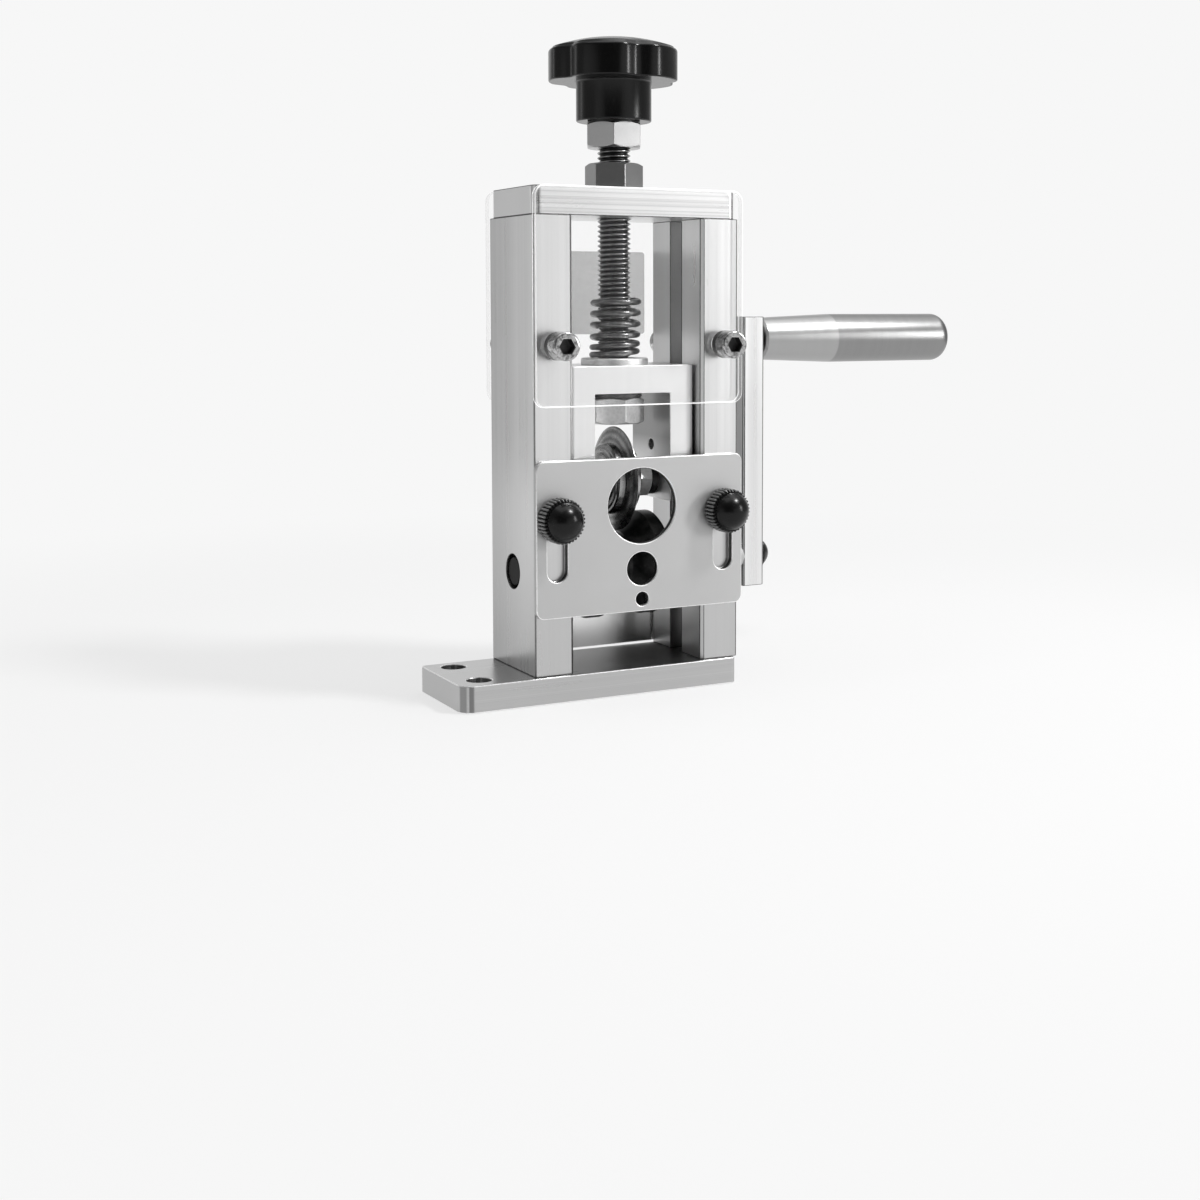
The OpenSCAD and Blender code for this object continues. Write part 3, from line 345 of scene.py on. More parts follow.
# Polished plating with faint handling marks
def chrome(name, light=0.62, dark=0.3):
    finish = Finish(name)
    marks = finish.grain((700, 700, 700), detail=4, roughness=0.65)
    colour = finish.mixColour(finish.smooth(marks, 0.3, 0.6), grey(dark), grey(light))
    normal = finish.bump(marks, 0.15, 0.00008)
    finish.surface(Base_Color=colour, Metallic=1, Roughness=0.1 + marks * 0.1, Normal=normal)


# The thin bright line that a tool leaves where it breaks an edge
def brokenEdge(name, light=0.97):
    finish = Finish(name)
    nicks = finish.grain((800, 800, 800), detail=3)
    colour = finish.mixColour(finish.smooth(nicks, 0.3, 0.5), grey(light * 0.86), grey(light))
    finish.surface(Base_Color=colour, Metallic=1, Roughness=0.3 + nicks * 0.15)


# Painted shade, almost black, for the inside of a socket or a joint
def socketShade(name, light=0.12, dark=0.01):
    finish = Finish(name)
    oil = finish.grain((600, 600, 600), detail=3)
    colour = finish.mixColour(oil, grey(dark), grey(light))
    finish.surface(Base_Color=colour, Metallic=0.8, Roughness=0.4 + oil * 0.2)


# Moulded plastic: deep black under a gloss, with slow waves and fine dust; the tips of ridges round an axis
# along Y are painted grey, as a highlight
def plastic(name, rough=0.24, gloss=0.3, axis=None, tipsFrom=0.0073, tipsTo=0.008, rubbedAndPaintedLight=0.26):
    finish = Finish(name)
    waves = finish.grain((70, 70, 70), detail=2)
    dust = finish.grain((1800, 1800, 1800), detail=3, roughness=0.6)
    colour = finish.mixColour(finish.smooth(dust, 0.5, 0.8), grey(0.0015), grey(0.005))
    if axis:
        # Painted highlight: ridge tips far from the axis are painted grey
        paintedTipLight = finish.smooth(finish.fromAxis("y", axis), tipsFrom, tipsTo)
        colour = finish.mixColour(paintedTipLight * (0.5 + dust * 0.5), colour, grey(rubbedAndPaintedLight))
    normal = finish.bump(waves + dust * 0.05, 0.08, 0.0006)
    finish.surface(Base_Color=colour, Roughness=rough + (dust - 0.5) * 0.08, Normal=normal,
                   Specular_IOR_Level=gloss, Coat_Weight=0.05, Coat_Roughness=0.12)


# Clear sheet: seen through, but for a faint sheen that grows where it is looked at from the side
def acrylic(name):
    finish = Finish(name)
    facing = finish.add("ShaderNodeLayerWeight", None, {"Blend": 0.28}, out=1)
    smears = finish.grain((35, 35, 60), detail=3)
    cover = finish.clamp(0.012 + facing ** 5 * 0.3 + (smears - 0.5) * 0.015)
    finish.surface(Base_Color=grey(0.95), Roughness=0.04 + smears * 0.06, Alpha=cover)


# The sawn rim of a clear sheet, given a painted glow: cover is how solid it looks, and glow how bright the
# painted glow is
def acrylicRim(name, cover=0.9, glow=0.5):
    finish = Finish(name)
    saw = finish.grain((900, 900, 900), detail=2)
    colour = finish.mixColour(saw, grey(0.88), grey(1.0))
    finish.surface(Base_Color=colour, Roughness=0.25 + saw * 0.1, Alpha=cover,
                   Emission_Color=colour, Emission_Strength=glow)


# A blank silvery film label
def film(name):
    finish = Finish(name)
    creases = finish.grain((90, 90, 90), detail=4, roughness=0.6)
    speck = finish.grain((2400, 2400, 2400), detail=2)
    colour = finish.mixColour(finish.clamp(creases * 0.8 + speck * 0.3), grey(0.6), grey(0.98))
    normal = finish.bump(creases + speck * 0.1, 0.2, 0.0003)
    finish.surface(Base_Color=colour, Metallic=0.2, Roughness=0.5, Normal=normal,
                   Alpha=0.26 + creases * 0.18)


gripCone = 31.5   # length of the grip's cone, in millimetres
bladeCentre = middleOf("blade_disc")

# Painted shade at the back and at the foot of the side plates
brushed("plateMetal", "z", light=0.88, dark=0.72, relief=0.12, paintedShade=(0.3, 0.62))
brushed("brushedAcross", "x", light=0.98, dark=0.62, relief=0.08, fine=900, lines=0.7)
# Painted dark reflections round the base's rounded corners
brushed("baseMetal", "x", light=0.56, dark=0.42, relief=0.08, fine=2000, lines=0.3,
        paintedReflectionStripes=((-17, 12, 1), (-52, 20, 0.8)))
# Painted shade on the faces of the arm and the carriage that look left
brushed("armMetal", "z", light=0.86, dark=0.72, relief=0.12, left=(0.8, -0.02, -0.01))
brushed("carriageMetal", "z", light=0.86, dark=0.78, rough=0.36, relief=0.2, left=(1.4, 0.08, 0.097))
brushed("rearMetal", "z", light=0.94, dark=0.8, rough=0.24)
turned("turnedGrip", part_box("crank_grip")[0].x + gripCone / 1000)
satin("satinGuide")
chrome("chrome")
# A darker copy of chrome: painted shade for the front guard's screws
chrome("shadedChrome", light=0.52, dark=0.16)
zinc("zinc", light=0.98, dark=0.6, rough=0.48)
zinc("smoothZinc", light=0.54, dark=0.47, rough=0.32, relief=0.06)
zinc("greyNut", light=0.42, dark=0.37, rough=0.3, relief=0.06)
darkSteel("oiledSteel", light=0.13, dark=0.07)
darkSteel("shaftSteel", light=0.03, dark=0.01, rough=0.6)
threaded("threadSteel", root=5.0, crest=6.05)
darkSteel("springSteel", light=0.2, dark=0.12, rough=0.3, metallic=1, relief=0.04)
brokenEdge("brokenEdge")
socketShade("socketShade")
socketShade("jointShade", light=0.2, dark=0.06)
darkSteel("blackOxide", light=0.035, dark=0.008, rough=0.36, metallic=0.5)
faced("facedBlade", bladeCentre)
faced("facedFlange", bladeCentre, light=0.42, dark=0.16, pitch=0.6)
plastic("knobPlastic")
# Painted highlights on the thumb screws' ridge tips, round each screw's own axis
plastic("leftThumbPlastic", rough=0.26, gloss=0.24, axis=middleOf("left_thumb_knob"))
plastic("rightThumbPlastic", rough=0.26, gloss=0.24, axis=middleOf("right_thumb_knob"))
acrylic("acrylic")
# Painted glow on the front guard's broken edges and on the guards' walls
acrylicRim("acrylicRim", cover=0.8, glow=0.34)
acrylicRim("acrylicWall", cover=0.2, glow=0.06)
film("labelFilm")
print("finishes made,", len(finishes))

# Making and finishing pieces

bodyOf = {node: body for body, nodes in frame["record"]["behaviour"]["bodies"].items() for node in nodes}


# How meshes are read: vertices this near are one, and faces that lean less than flat are one flat face. The
# lean is in degrees, and nearAxis and spunMerge are in millimetres.
meshRule = {
    "merge": 0.000003,     # metres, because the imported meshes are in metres
    "flat": 0.6,
    "curved": 30,          # up to this lean, neighbours belong to one curve
    "larger": 4,           # how many times larger than its leaning neighbours a flat face is
    "flatWeight": 80,
    "nearAxis": 0.000001,
    "spunMerge": 0.0001,
}


# A face is flat where it is far larger than the neighbours that lean a little away from it
def isFlat(face):
    leaning = []
    for edge in face.edges:
        if (len(edge.link_faces) == 2
                and radians(meshRule["flat"]) < edge.calc_face_angle() < radians(meshRule["curved"])):
            leaning += [other.calc_area() for other in edge.link_faces if other is not face]
    return not leaning or face.calc_area() > meshRule["larger"] * max(leaning)


# Turns a bmesh in millimetres into a piece that stands for its nodes. Edges sharper than sharp degrees are
# drawn sharp, and broken to the width edge in millimetres, with the finish named by rim.
def finishPiece(name, bm, finish, nodes, edge=0, steps=2, sharp=30, body=None, rim=None):
    bmesh.ops.scale(bm, vec=(0.001, 0.001, 0.001), verts=bm.verts)
    smooth = [not isFlat(face) for face in bm.faces]
    mesh = bpy.data.meshes.new(name)
    bm.to_mesh(mesh)
    bm.free()
    mesh.set_sharp_from_angle(angle=radians(sharp))
    mesh.polygons.foreach_set("use_smooth", smooth)
    mesh.materials.append(finishes[finish])
    piece = bpy.data.objects.new(name, mesh)
    scene.collection.objects.link(piece)
    if rim:
        mesh.materials.append(finishes[rim])
    if edge:
        bevel = piece.modifiers.new("edges", "BEVEL")
        bevel.width = edge / 1000
        bevel.segments = steps
        bevel.limit_method = "ANGLE"
        bevel.angle_limit = radians(sharp)
        bevel.use_clamp_overlap = False
        bevel.material = 1 if rim else -1
        flat = piece.modifiers.new("flatFaces", "WEIGHTED_NORMAL")
        flat.weight = meshRule["flatWeight"]
        flat.keep_sharp = True
    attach(piece, body or bodyOf[nodes[0]])
    if nodes:
        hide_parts(*nodes)
    return piece


# A bmesh from a CAD node: its loose triangles merged, flat faces made whole again
def copyOf(node):
    bm = bmesh.new()
    bm.from_mesh(frame["nodes"][node].data)
    bmesh.ops.remove_doubles(bm, verts=bm.verts, dist=meshRule["merge"])
    bmesh.ops.dissolve_limit(bm, angle_limit=radians(meshRule["flat"]), verts=bm.verts, edges=bm.edges)
    bmesh.ops.scale(bm, vec=(1000, 1000, 1000), verts=bm.verts)
    return bm


# A closed outline of (radius, height) points spun round Z
def spun(outline, steps=72):
    bm = bmesh.new()
    points = [bm.verts.new((radius, 0, height)) for radius, height in outline]
    ends = points[1:] + points[:1]
    edges = [bm.edges.new(pair) for pair in zip(points, ends)]
    onAxis = [e for e in edges if all(abs(v.co.x) < meshRule["nearAxis"] for v in e.verts)]
    for edge in onAxis:
        edges.remove(edge)
        bm.edges.remove(edge)
    bmesh.ops.spin(bm, geom=points + edges, axis=(0, 0, 1), cent=(0, 0, 0), angle=2 * pi, steps=steps,
                   use_merge=True)
    bmesh.ops.remove_doubles(bm, verts=bm.verts, dist=meshRule["spunMerge"])
    bmesh.ops.recalc_face_normals(bm, faces=bm.faces)
    return bm


# Moves every vertex that fits a test to where the change puts it
def push(bm, fits, change):
    for vertex in bm.verts:
        if fits(vertex.co):
            vertex.co = change(vertex.co)


# Turns what was made upright round Z to another direction, and puts it in its place
def turnTo(bm, direction, place):
    turn = Vector((0, 0, 1)).rotation_difference(Vector(direction)).to_matrix().to_4x4()
    bmesh.ops.transform(bm, matrix=Matrix.Translation(place) @ turn, verts=bm.verts)


# Points of an arc in an outline, round a centre given as radius and height, from one angle to another
def arc(radius, height, r, start, end, steps=5):
    return [(radius + r * cos(radians(start + (end - start) * i / steps)),
             height + r * sin(radians(start + (end - start) * i / steps))) for i in range(steps + 1)]


# Points of a ball's cap whose rim would rise that far, from near its rim to the middle of its top
def cap(top, rim, rise, reach, steps, first):
    ball = (rim ** 2 + rise ** 2) / (2 * rise)
    return [(reach * i / steps, top - ball + sqrt(ball ** 2 - (reach * i / steps) ** 2))
            for i in range(first, -1, -1)]


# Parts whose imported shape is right, or nearly so, get fine edges; the numbers are their widths in millimetres

edged = {
    "base_plate": ("baseMetal", 0.35),
    "left_side_plate": ("plateMetal", 0.25),
    "right_side_plate": ("plateMetal", 0.25),
    "top_plate": ("brushedAcross", 0.3),
    "rear_plate": ("rearMetal", 0.25),
    "rear_plate_screws": ("chrome", 0.2),
    "frame_top_screws": ("oiledSteel", 0.15),
    "frame_base_screws": ("oiledSteel", 0.15),
    "front_guard_screws": ("shadedChrome", 0.3),
    "front_guard_washers": ("oiledSteel", 0.15),
    "back_guard_screws": ("chrome", 0.25),
    "guide_plate": ("satinGuide", 0.35),
    "left_thumb_stud": ("chrome", 0.2),
    "right_thumb_stud": ("chrome", 0.2),
    "left_shaft_bearing": ("chrome", 0.15),
    "right_shaft_bearing": ("chrome", 0.15),
    "drive_shaft": ("shaftSteel", 0.25),
    "shaft_key": ("oiledSteel", 0.1),
    "left_roller_half": ("blackOxide", 0.15),
    "right_roller_half": ("blackOxide", 0.15),
    "left_roller_spacer": ("smoothZinc", 0.15),
    "right_roller_spacer": ("smoothZinc", 0.15),
    "crank_spacer": ("smoothZinc", 0.2),
    "crank_arm": ("armMetal", 0.25),
    "grip_axle": ("oiledSteel", 0.2),
    "grip_clip": ("springSteel", 0.1),
    "blade_carriage": ("carriageMetal", 0.25),
    "left_slide_key": ("oiledSteel", 0.2),
    "right_slide_key": ("oiledSteel", 0.2),
    "slide_key_screws": ("oiledSteel", 0.1),
    "left_axle_bush": ("blackOxide", 0.15),
    "right_axle_bush": ("blackOxide", 0.15),
    "thrust_washer": ("oiledSteel", 0.2),
    "knob_insert": ("oiledSteel", 0.15),
    "blade_axle": ("oiledSteel", 0.2),
    "blade_spacer": ("smoothZinc", 0.2),
}

# The rest of the broken edges have the part's own finish
brightEdged = ("base_plate", "guide_plate", "blade_carriage", "rear_plate")
# The broken edges of these parts are painted dark, as shade
darkEdged = ("left_side_plate", "right_side_plate", "top_plate", "crank_arm")

# Screws with a hex socket: the head's radius and how far the socket reaches from its middle, in millimetres,
# and the axis that the heads point along, 1 being Y and 2 Z
sockets = {
    "front_guard_screws": {"head": 5, "socket": 2.95, "points": 1},
    "back_guard_screws": {"head": 5, "socket": 2.2, "points": 1},
    "rear_plate_screws": {"head": 3.6, "socket": 1.5, "points": 1},
    "frame_top_screws": {"head": 4.25, "socket": 2.4, "points": 2},
    "frame_base_screws": {"head": 4.25, "socket": 2.4, "points": 2},
}


# Walls and floors of the sockets get the shaded finish; the heads stand at the corners of the screws' box
def shadeSockets(piece, node, size):
    low, high = boxOf(node)
    second = 3 - size["points"]
    piece.data.materials.append(finishes["socketShade"])
    corners = piece.data.vertices
    for polygon in piece.data.polygons:
        spots = [corners[i].co * 1000 for i in polygon.vertices]
        middle = [min((low[axis] + size["head"], high[axis] - size["head"]),
                      key=lambda m: abs(m - spots[0][axis])) for axis in (0, second)]
        if all(hypot(spot[0] - middle[0], spot[second] - middle[1]) < size["socket"] for spot in spots):
            polygon.material_index = len(piece.data.materials) - 1


openings = {"inset": 2.5, "look": 0.3}   # millimetres in from the outline; how much a wall may look forward


# Walls of the holes and slots of the guide plate, which face each other, get painted shade
def shadeOpenings(piece, node, size):
    low, high = boxOf(node)
    piece.data.materials.append(finishes["socketShade"])
    for polygon in piece.data.polygons:
        spot = polygon.center * 1000
        inside = min(spot.x - low.x, high.x - spot.x, spot.z - low.z, high.z - spot.z) > size["inset"]
        if inside and abs(polygon.normal.y) < size["look"]:
            polygon.material_index = len(piece.data.materials) - 1


# Sides that reach a little further than the solid's: the axis, how deep a layer of its low side moves, and
# how far, in millimetres
drawnOut = {
    "rear_plate": ("z", 4, 0.5),
    "crank_arm": ("x", 1, 1),
}


def drawOut(bm, node):
    axis, depth, far = drawnOut[node]
    limit = getattr(boxOf(node)[0], axis) + depth
    shift = Vector([far if letter == axis else 0 for letter in "xyz"])
    push(bm, lambda p: getattr(p, axis) < limit, lambda p: p - shift)


for node, (finish, width) in edged.items():
    rim = "brokenEdge" if node in brightEdged else "jointShade" if node in darkEdged else None
    bm = copyOf(node)
    if node in drawnOut:
        drawOut(bm, node)
    piece = finishPiece(node + ".edged", bm, finish, [node], edge=width, rim=rim)
    if node in sockets:
        shadeSockets(piece, node, sockets[node])
    if node == "guide_plate":
        shadeOpenings(piece, node, openings)
print("edged parts,", len(edged))

# The crank's bolt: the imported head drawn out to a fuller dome

crankBolt = {"from": 59.1, "fuller": 1.35, "edge": 0.2}


def makeCrankBolt(size):
    bm = copyOf("crank_bolt")
    push(bm, lambda p: p.x > size["from"],
         lambda p: Vector((size["from"] + (p.x - size["from"]) * size["fuller"], p.y, p.z)))
    finishPiece("crank_bolt.domed", bm, "knobPlastic", ["crank_bolt"], edge=size["edge"])


makeCrankBolt(crankBolt)

# Clear guards: a rounded sheet with two holes, its broken edges and its outer wall finishes of their own, which
# glow with painted light

pane = {
    "corner": 4,
    "hole": 3.2,
    "fromEnd": 5,          # from the end of the screws' box to the middle of a hole
    "edge": 0.35,
    "clear": 0.05,
    "wallLook": 0.5,       # a face that looks less than this to the front is a wall
    "nearHole": 0.1,
    "rimAngle": 60,
    "sharp": 20,
    "cornerSteps": 10,
    "holeSteps": 40,
}


# Points of a rounded rectangle seen from the front, in millimetres
def roundedOutline(low, high, radius, steps):
    points = []
    for turn, x, z in ((0, high.x, high.z), (90, low.x, high.z), (180, low.x, low.z), (270, high.x, low.z)):
        centre = (x - radius * (1 if turn in (0, 270) else -1), z - radius * (1 if turn in (0, 90) else -1))
        for step in range(steps + 1):
            angle = radians(turn + 90 * step / steps)
            points.append((centre[0] + radius * cos(angle), centre[1] + radius * sin(angle)))
    return points


def makePane(node, screws, rim, size):
    low, high = boxOf(node)
    first, last = boxOf(screws)
    middle = (first.z + last.z) / 2
    centres = [(first.x + size["fromEnd"], middle), (last.x - size["fromEnd"], middle)]
    outlines = [roundedOutline(low, high, size["corner"], size["cornerSteps"])]
    for x, z in centres:
        turns = [2 * pi * i / size["holeSteps"] for i in range(size["holeSteps"])]
        outlines.append([(x + size["hole"] * cos(t), z + size["hole"] * sin(t)) for t in turns])
    bm = bmesh.new()
    edges = []
    for outline in outlines:
        points = [bm.verts.new((x, low.y + size["clear"], z)) for x, z in outline]
        edges += [bm.edges.new(pair) for pair in zip(points, points[1:] + points[:1])]
    bmesh.ops.triangle_fill(bm, edges=edges, use_beauty=True)
    grown = bmesh.ops.extrude_face_region(bm, geom=bm.faces[:])
    bmesh.ops.translate(bm, vec=(0, high.y - low.y - size["clear"] * 2, 0),
                        verts=[v for v in grown["geom"] if isinstance(v, bmesh.types.BMVert)])
    bmesh.ops.recalc_face_normals(bm, faces=bm.faces)
    for face in bm.faces:
        spot = face.calc_center_median()
        inHole = any(hypot(spot.x - x, spot.z - z) < size["hole"] + size["nearHole"] for x, z in centres)
        if abs(face.normal.y) < size["wallLook"] and not inHole:
            face.material_index = 2
    rims = [e for e in bm.edges if e.calc_face_angle() > radians(size["rimAngle"])]
    cut = bmesh.ops.bevel(bm, geom=rims, offset=size["edge"], segments=1, profile=0.5, affect="EDGES",
                          material=-1)
    for face in cut["faces"]:
        face.material_index = 1
    piece = finishPiece(node + ".pane", bm, "acrylic", [node], rim=rim, sharp=size["sharp"])
    piece.data.materials.append(finishes["acrylicWall"])


makePane("front_guard", "front_guard_screws", "acrylicRim", pane)
makePane("back_guard", "back_guard_screws", "acrylicWall", pane)

label = {"left": -24, "right": 24, "bottom": 128, "top": 159, "thick": 0.12, "gap": 0.01, "corner": 1.2,
         "cornerSteps": 5}


def makeLabel(size):
    back = boxOf("back_guard")[1].y
    bm = bmesh.new()
    bmesh.ops.create_cube(bm, size=1)
    bmesh.ops.scale(bm, vec=(size["right"] - size["left"], size["thick"], size["top"] - size["bottom"]),
                    verts=bm.verts)
    bmesh.ops.translate(bm, vec=((size["right"] + size["left"]) / 2, back + size["thick"] / 2 + size["gap"],
                                 (size["top"] + size["bottom"]) / 2), verts=bm.verts)
    corners = [e for e in bm.edges if abs(e.verts[0].co.y - e.verts[1].co.y) > size["thick"] / 2]
    bmesh.ops.bevel(bm, geom=corners, offset=size["corner"], segments=size["cornerSteps"], profile=0.5,
                    affect="EDGES", material=-1)
    finishPiece("blankLabel", bm, "labelFilm", [], body="frame")


makeLabel(label)
print("guards and blank label")

# Nuts and the screw's head: six flats whose corners are turned off in a curve

# Width across the flats, turn in degrees, and the axis that a nut stands along, 0 being X and 2 Z
hexParts = {
    "lock_nut": {"flats": 18.4, "turn": 25.6, "bore": 6.05, "along": 2, "finish": "greyNut"},
    "jam_nut": {"flats": 19, "turn": 3.6, "bore": 6.05, "along": 2, "finish": "smoothZinc"},
    "blade_nut": {"flats": 13, "turn": 30, "bore": 4.05, "along": 0, "finish": "zinc"},
}
# How the corners are turned off: where the cone starts in from the flats, how far past the corners it would
# reach, and its rise for each millimetre outwards
hexShape = {"inset": 0.2, "past": 1, "rise": 0.55, "outside": 0.1, "edge": 0.15, "sharp": 25}


def hexBlock(size, low, high, shape=hexShape):
    flat = size["flats"] / 2 - shape["inset"]
    corner = size["flats"] / sqrt(3)
    past = corner + shape["past"]
    rise = (past - flat) * shape["rise"]
    middle = (low + high) / 2
    inner = size["bore"]
    bm = spun([(inner, low), (flat, low), (corner, low + rise / 2), (corner, high - rise / 2), (flat, high),
               (inner, high)])

    # Each corner vertex goes to its flat, and up to where the turned cone leaves that flat
    def ontoFlat(point):
        angle = atan2(point.y, point.x)
        fromCorner = (angle - radians(size["turn"])) % (pi / 3) - pi / 6
        radius = size["flats"] / 2 / cos(fromCorner)
        cone = rise * (radius - flat) / (past - flat)
        height = low + cone if point.z < middle else high - cone
        return Vector((radius * cos(angle), radius * sin(angle), height))

    bmesh.ops.rotate(bm, cent=(0, 0, 0), matrix=Matrix.Rotation(radians(size["turn"]), 3, "Z"),
                     verts=bm.verts)
    push(bm, lambda p: hypot(p.x, p.y) > flat + shape["outside"], ontoFlat)
    return bm


def makeNut(node, size):
    low, high = boxOf(node)
    bm = hexBlock(size, 0, high[size["along"]] - low[size["along"]])
    if size["along"] == 0:
        turnTo(bm, (1, 0, 0), (low.x, 0, (low.z + high.z) / 2))
    else:
        bmesh.ops.translate(bm, vec=(0, 0, low.z), verts=bm.verts)
    finishPiece(node + ".hex", bm, size["finish"], [node], edge=hexShape["edge"], sharp=hexShape["sharp"])


for node, size in hexParts.items():
    makeNut(node, size)

# Lifting screw: galvanized head, rolled thread with a rounded crest

screw = {
    "flats": 19,
    "turn": 25.5,
    "bore": 4,
    "headTop": 105.4,
    "headEdge": 0.25,
    "headEdgeSteps": 3,
    "radius": 6,
    "root": 5.0,
    "neck": 4.4,           # radius of the core inside the head
    "neckFrom": 0.6,       # up from the head's underside
    "neckTo": 2,           # down from the head's top
    "chamfer": 1,
    "coreSteps": 48,
    "pitch": 1.75,
    "threadFrom": 107,
    "threadTo": 206.5,
    "steps": 32,           # steps of the thread in one turn
    "sharp": 35,
}
# One side of the thread's ridge: from the root or the radius, how far out, and its height in half pitches
threadRidge = (("root", -0.3, 0.98), ("root", 0.02, 0.8), ("radius", -0.08, 0.2), ("radius", 0, 0.08))


def makeScrewHead(size):
    low = boxOf("lifting_screw")[0]
    bm = hexBlock(size, low.z, size["headTop"])
    finishPiece("lifting_screw.head", bm, "zinc", ["lifting_screw"], edge=size["headEdge"],
                steps=size["headEdgeSteps"], sharp=hexShape["sharp"])


def makeScrewThread(size):
    low, high = boxOf("lifting_screw")
    foot = low.z + size["neckFrom"]
    bm = spun([(0, foot), (size["neck"], foot), (size["root"], size["headTop"] - size["neckTo"]),
               (size["root"], high.z - size["chamfer"]), (size["root"] - size["chamfer"], high.z),
               (0, high.z)], steps=size["coreSteps"])
    half = size["pitch"] / 2
    upper = [(size[start] + out, half * share) for start, out, share in threadRidge]
    ridge = [(radius, -height) for radius, height in upper] + upper[::-1]
    turns = (size["threadTo"] - size["threadFrom"]) / size["pitch"]
    steps = round(turns * size["steps"])
    start = [bm.verts.new((radius, 0, size["threadFrom"] + height)) for radius, height in ridge]
    loop = [bm.edges.new(pair) for pair in zip(start, start[1:] + start[:1])]
    swept = bmesh.ops.spin(bm, geom=start + loop, axis=(0, 0, 1), cent=(0, 0, 0), angle=2 * pi * turns,
                           dvec=(0, 0, size["pitch"] * turns / steps), steps=steps)
    last = [e for e in swept["geom_last"] if isinstance(e, bmesh.types.BMEdge)]
    bmesh.ops.edgeloop_fill(bm, edges=loop)
    bmesh.ops.edgeloop_fill(bm, edges=last)
    bmesh.ops.recalc_face_normals(bm, faces=bm.faces)
    finishPiece("lifting_screw.thread", bm, "threadSteel", [], body="screw",
                sharp=size["sharp"])


makeScrewHead(screw)
makeScrewThread(screw)
print("nuts, screw and thread")

# Washer on the carriage: punched, so its upper rim is rounded

washer = {"bore": 6.5, "soft": 0.7, "edge": 0.2, "chamfer": 0.3, "steps": 96}


def makeCarriageWasher(size):
    low, high = boxOf("carriage_washer")
    bore, soft, edge = size["bore"], size["soft"], size["edge"]
    thick = high.z - low.z
    outline = [(bore, edge), (bore + edge, 0), (high.x - edge, 0), (high.x, edge)]
    outline += arc(high.x - soft, thick - soft, soft, 0, 90)
    outline += [(bore + size["chamfer"], thick), (bore, thick - size["chamfer"])]
    bm = spun(outline, steps=size["steps"])
    bmesh.ops.translate(bm, vec=(0, 0, low.z), verts=bm.verts)
    finishPiece("carriage_washer.punched", bm, "zinc", ["carriage_washer"])


makeCarriageWasher(washer)

# Spring: one closed curl, then open ones that lean a little to the side

spring = {
    "wire": 2.1,
    "outer": 18.5,
    "turns": 5.6,
    "start": 150,          # azimuth in degrees where the wire begins
    "closed": 2.7,         # rise of the first turn, then of the open ones
    "open": 4,
    "lean": 0.6,
    "dip": 0.8,
    "leanTo": -28,
    "gap": 0.02,
    "perTurn": 32,
    "roundness": 5,
    "merge": 0.0005,
    "sharp": 40,
}


# A point of the wire's middle after u turns
def springPoint(u, size, bottom):
    turn = radians(size["start"] + 360 * u)
    across = radians(size["leanTo"])
    radius = (size["outer"] - size["wire"]) / 2
    shift = size["lean"] * u / size["turns"]
    opening = size["open"] - size["closed"]
    if u < 1:
        rise = size["closed"] * u
    elif u < 2:
        rise = size["closed"] * u + opening * (u - 1) ** 2 / 2
    else:
        rise = size["closed"] * 2 + opening / 2 + size["open"] * (u - 2)
    t = min(max((u - 1) / 2, 0), 1)
    dip = size["dip"] * t * t * (3 - 2 * t) * cos(turn - across)
    return Vector((radius * cos(turn) + shift * cos(across), radius * sin(turn) + shift * sin(across),
                   bottom + size["wire"] / 2 + size["gap"] + rise - dip))


def makeSpring(size):
    bottom = boxOf("carriage_washer")[1].z
    count = round(size["turns"] * size["perTurn"])
    points = [springPoint(i * size["turns"] / count, size, bottom) for i in range(count + 1)]
    first = radians(size["start"])
    last = radians(size["start"] + 360 * size["turns"])
    points.insert(0, points[0] - size["wire"] * Vector((-sin(first), cos(first), 0)))
    points.append(points[-1] + size["wire"] * Vector((-sin(last), cos(last), 0)))
    curve = bpy.data.curves.new("springWire", "CURVE")
    curve.dimensions = "3D"
    curve.bevel_depth = size["wire"] / 2
    curve.bevel_resolution = size["roundness"]
    curve.use_fill_caps = True
    line = curve.splines.new("POLY")
    line.points.add(len(points) - 1)
    for spot, point in zip(line.points, points):
        spot.co = (*point, 1)
    wire = bpy.data.objects.new("springWire", curve)
    bm = bmesh.new()
    bm.from_mesh(wire.to_mesh())
    bmesh.ops.remove_doubles(bm, verts=bm.verts, dist=size["merge"])
    bmesh.ops.recalc_face_normals(bm, faces=bm.faces)
    bpy.data.objects.remove(wire)
    finishPiece("lift_spring.wire", bm, "springSteel", ["lift_spring"], sharp=size["sharp"])


makeSpring(spring)
print("washer and spring")

# Star knob: spun, then hollowed between the lobes

knob = {
    "lobes": 5,
    "depth": 2.6,          # of the hollows between the lobes
    "firstHollow": 196,
    "hollowFrom": 15,      # radius at which the hollows begin
    "narrow": 4,           # the higher, the narrower they are
    "hub": 13.6,
    "outer": 23.5,
    "recess": 9.4,
    "recessLip": 9.6,
    "recessDeep": 0.3,
    "fillet": ((0, -0.6), (0.2, -0.2), (0.6, 0), (4, 0)),   # from where the hub meets the rim: out and up
    "sit": 0.9,            # how much lower than the solid
    "crown": 0.4,
    "rimFrom": 218.9,
    "rimTo": 230.5,
    "round": 1.4,
    "roundTo": 80,
    "innerRound": 0.6,
    "capSteps": 10,
    "slack": 0.1,
    "steps": 240,
    "sharp": 50,
}


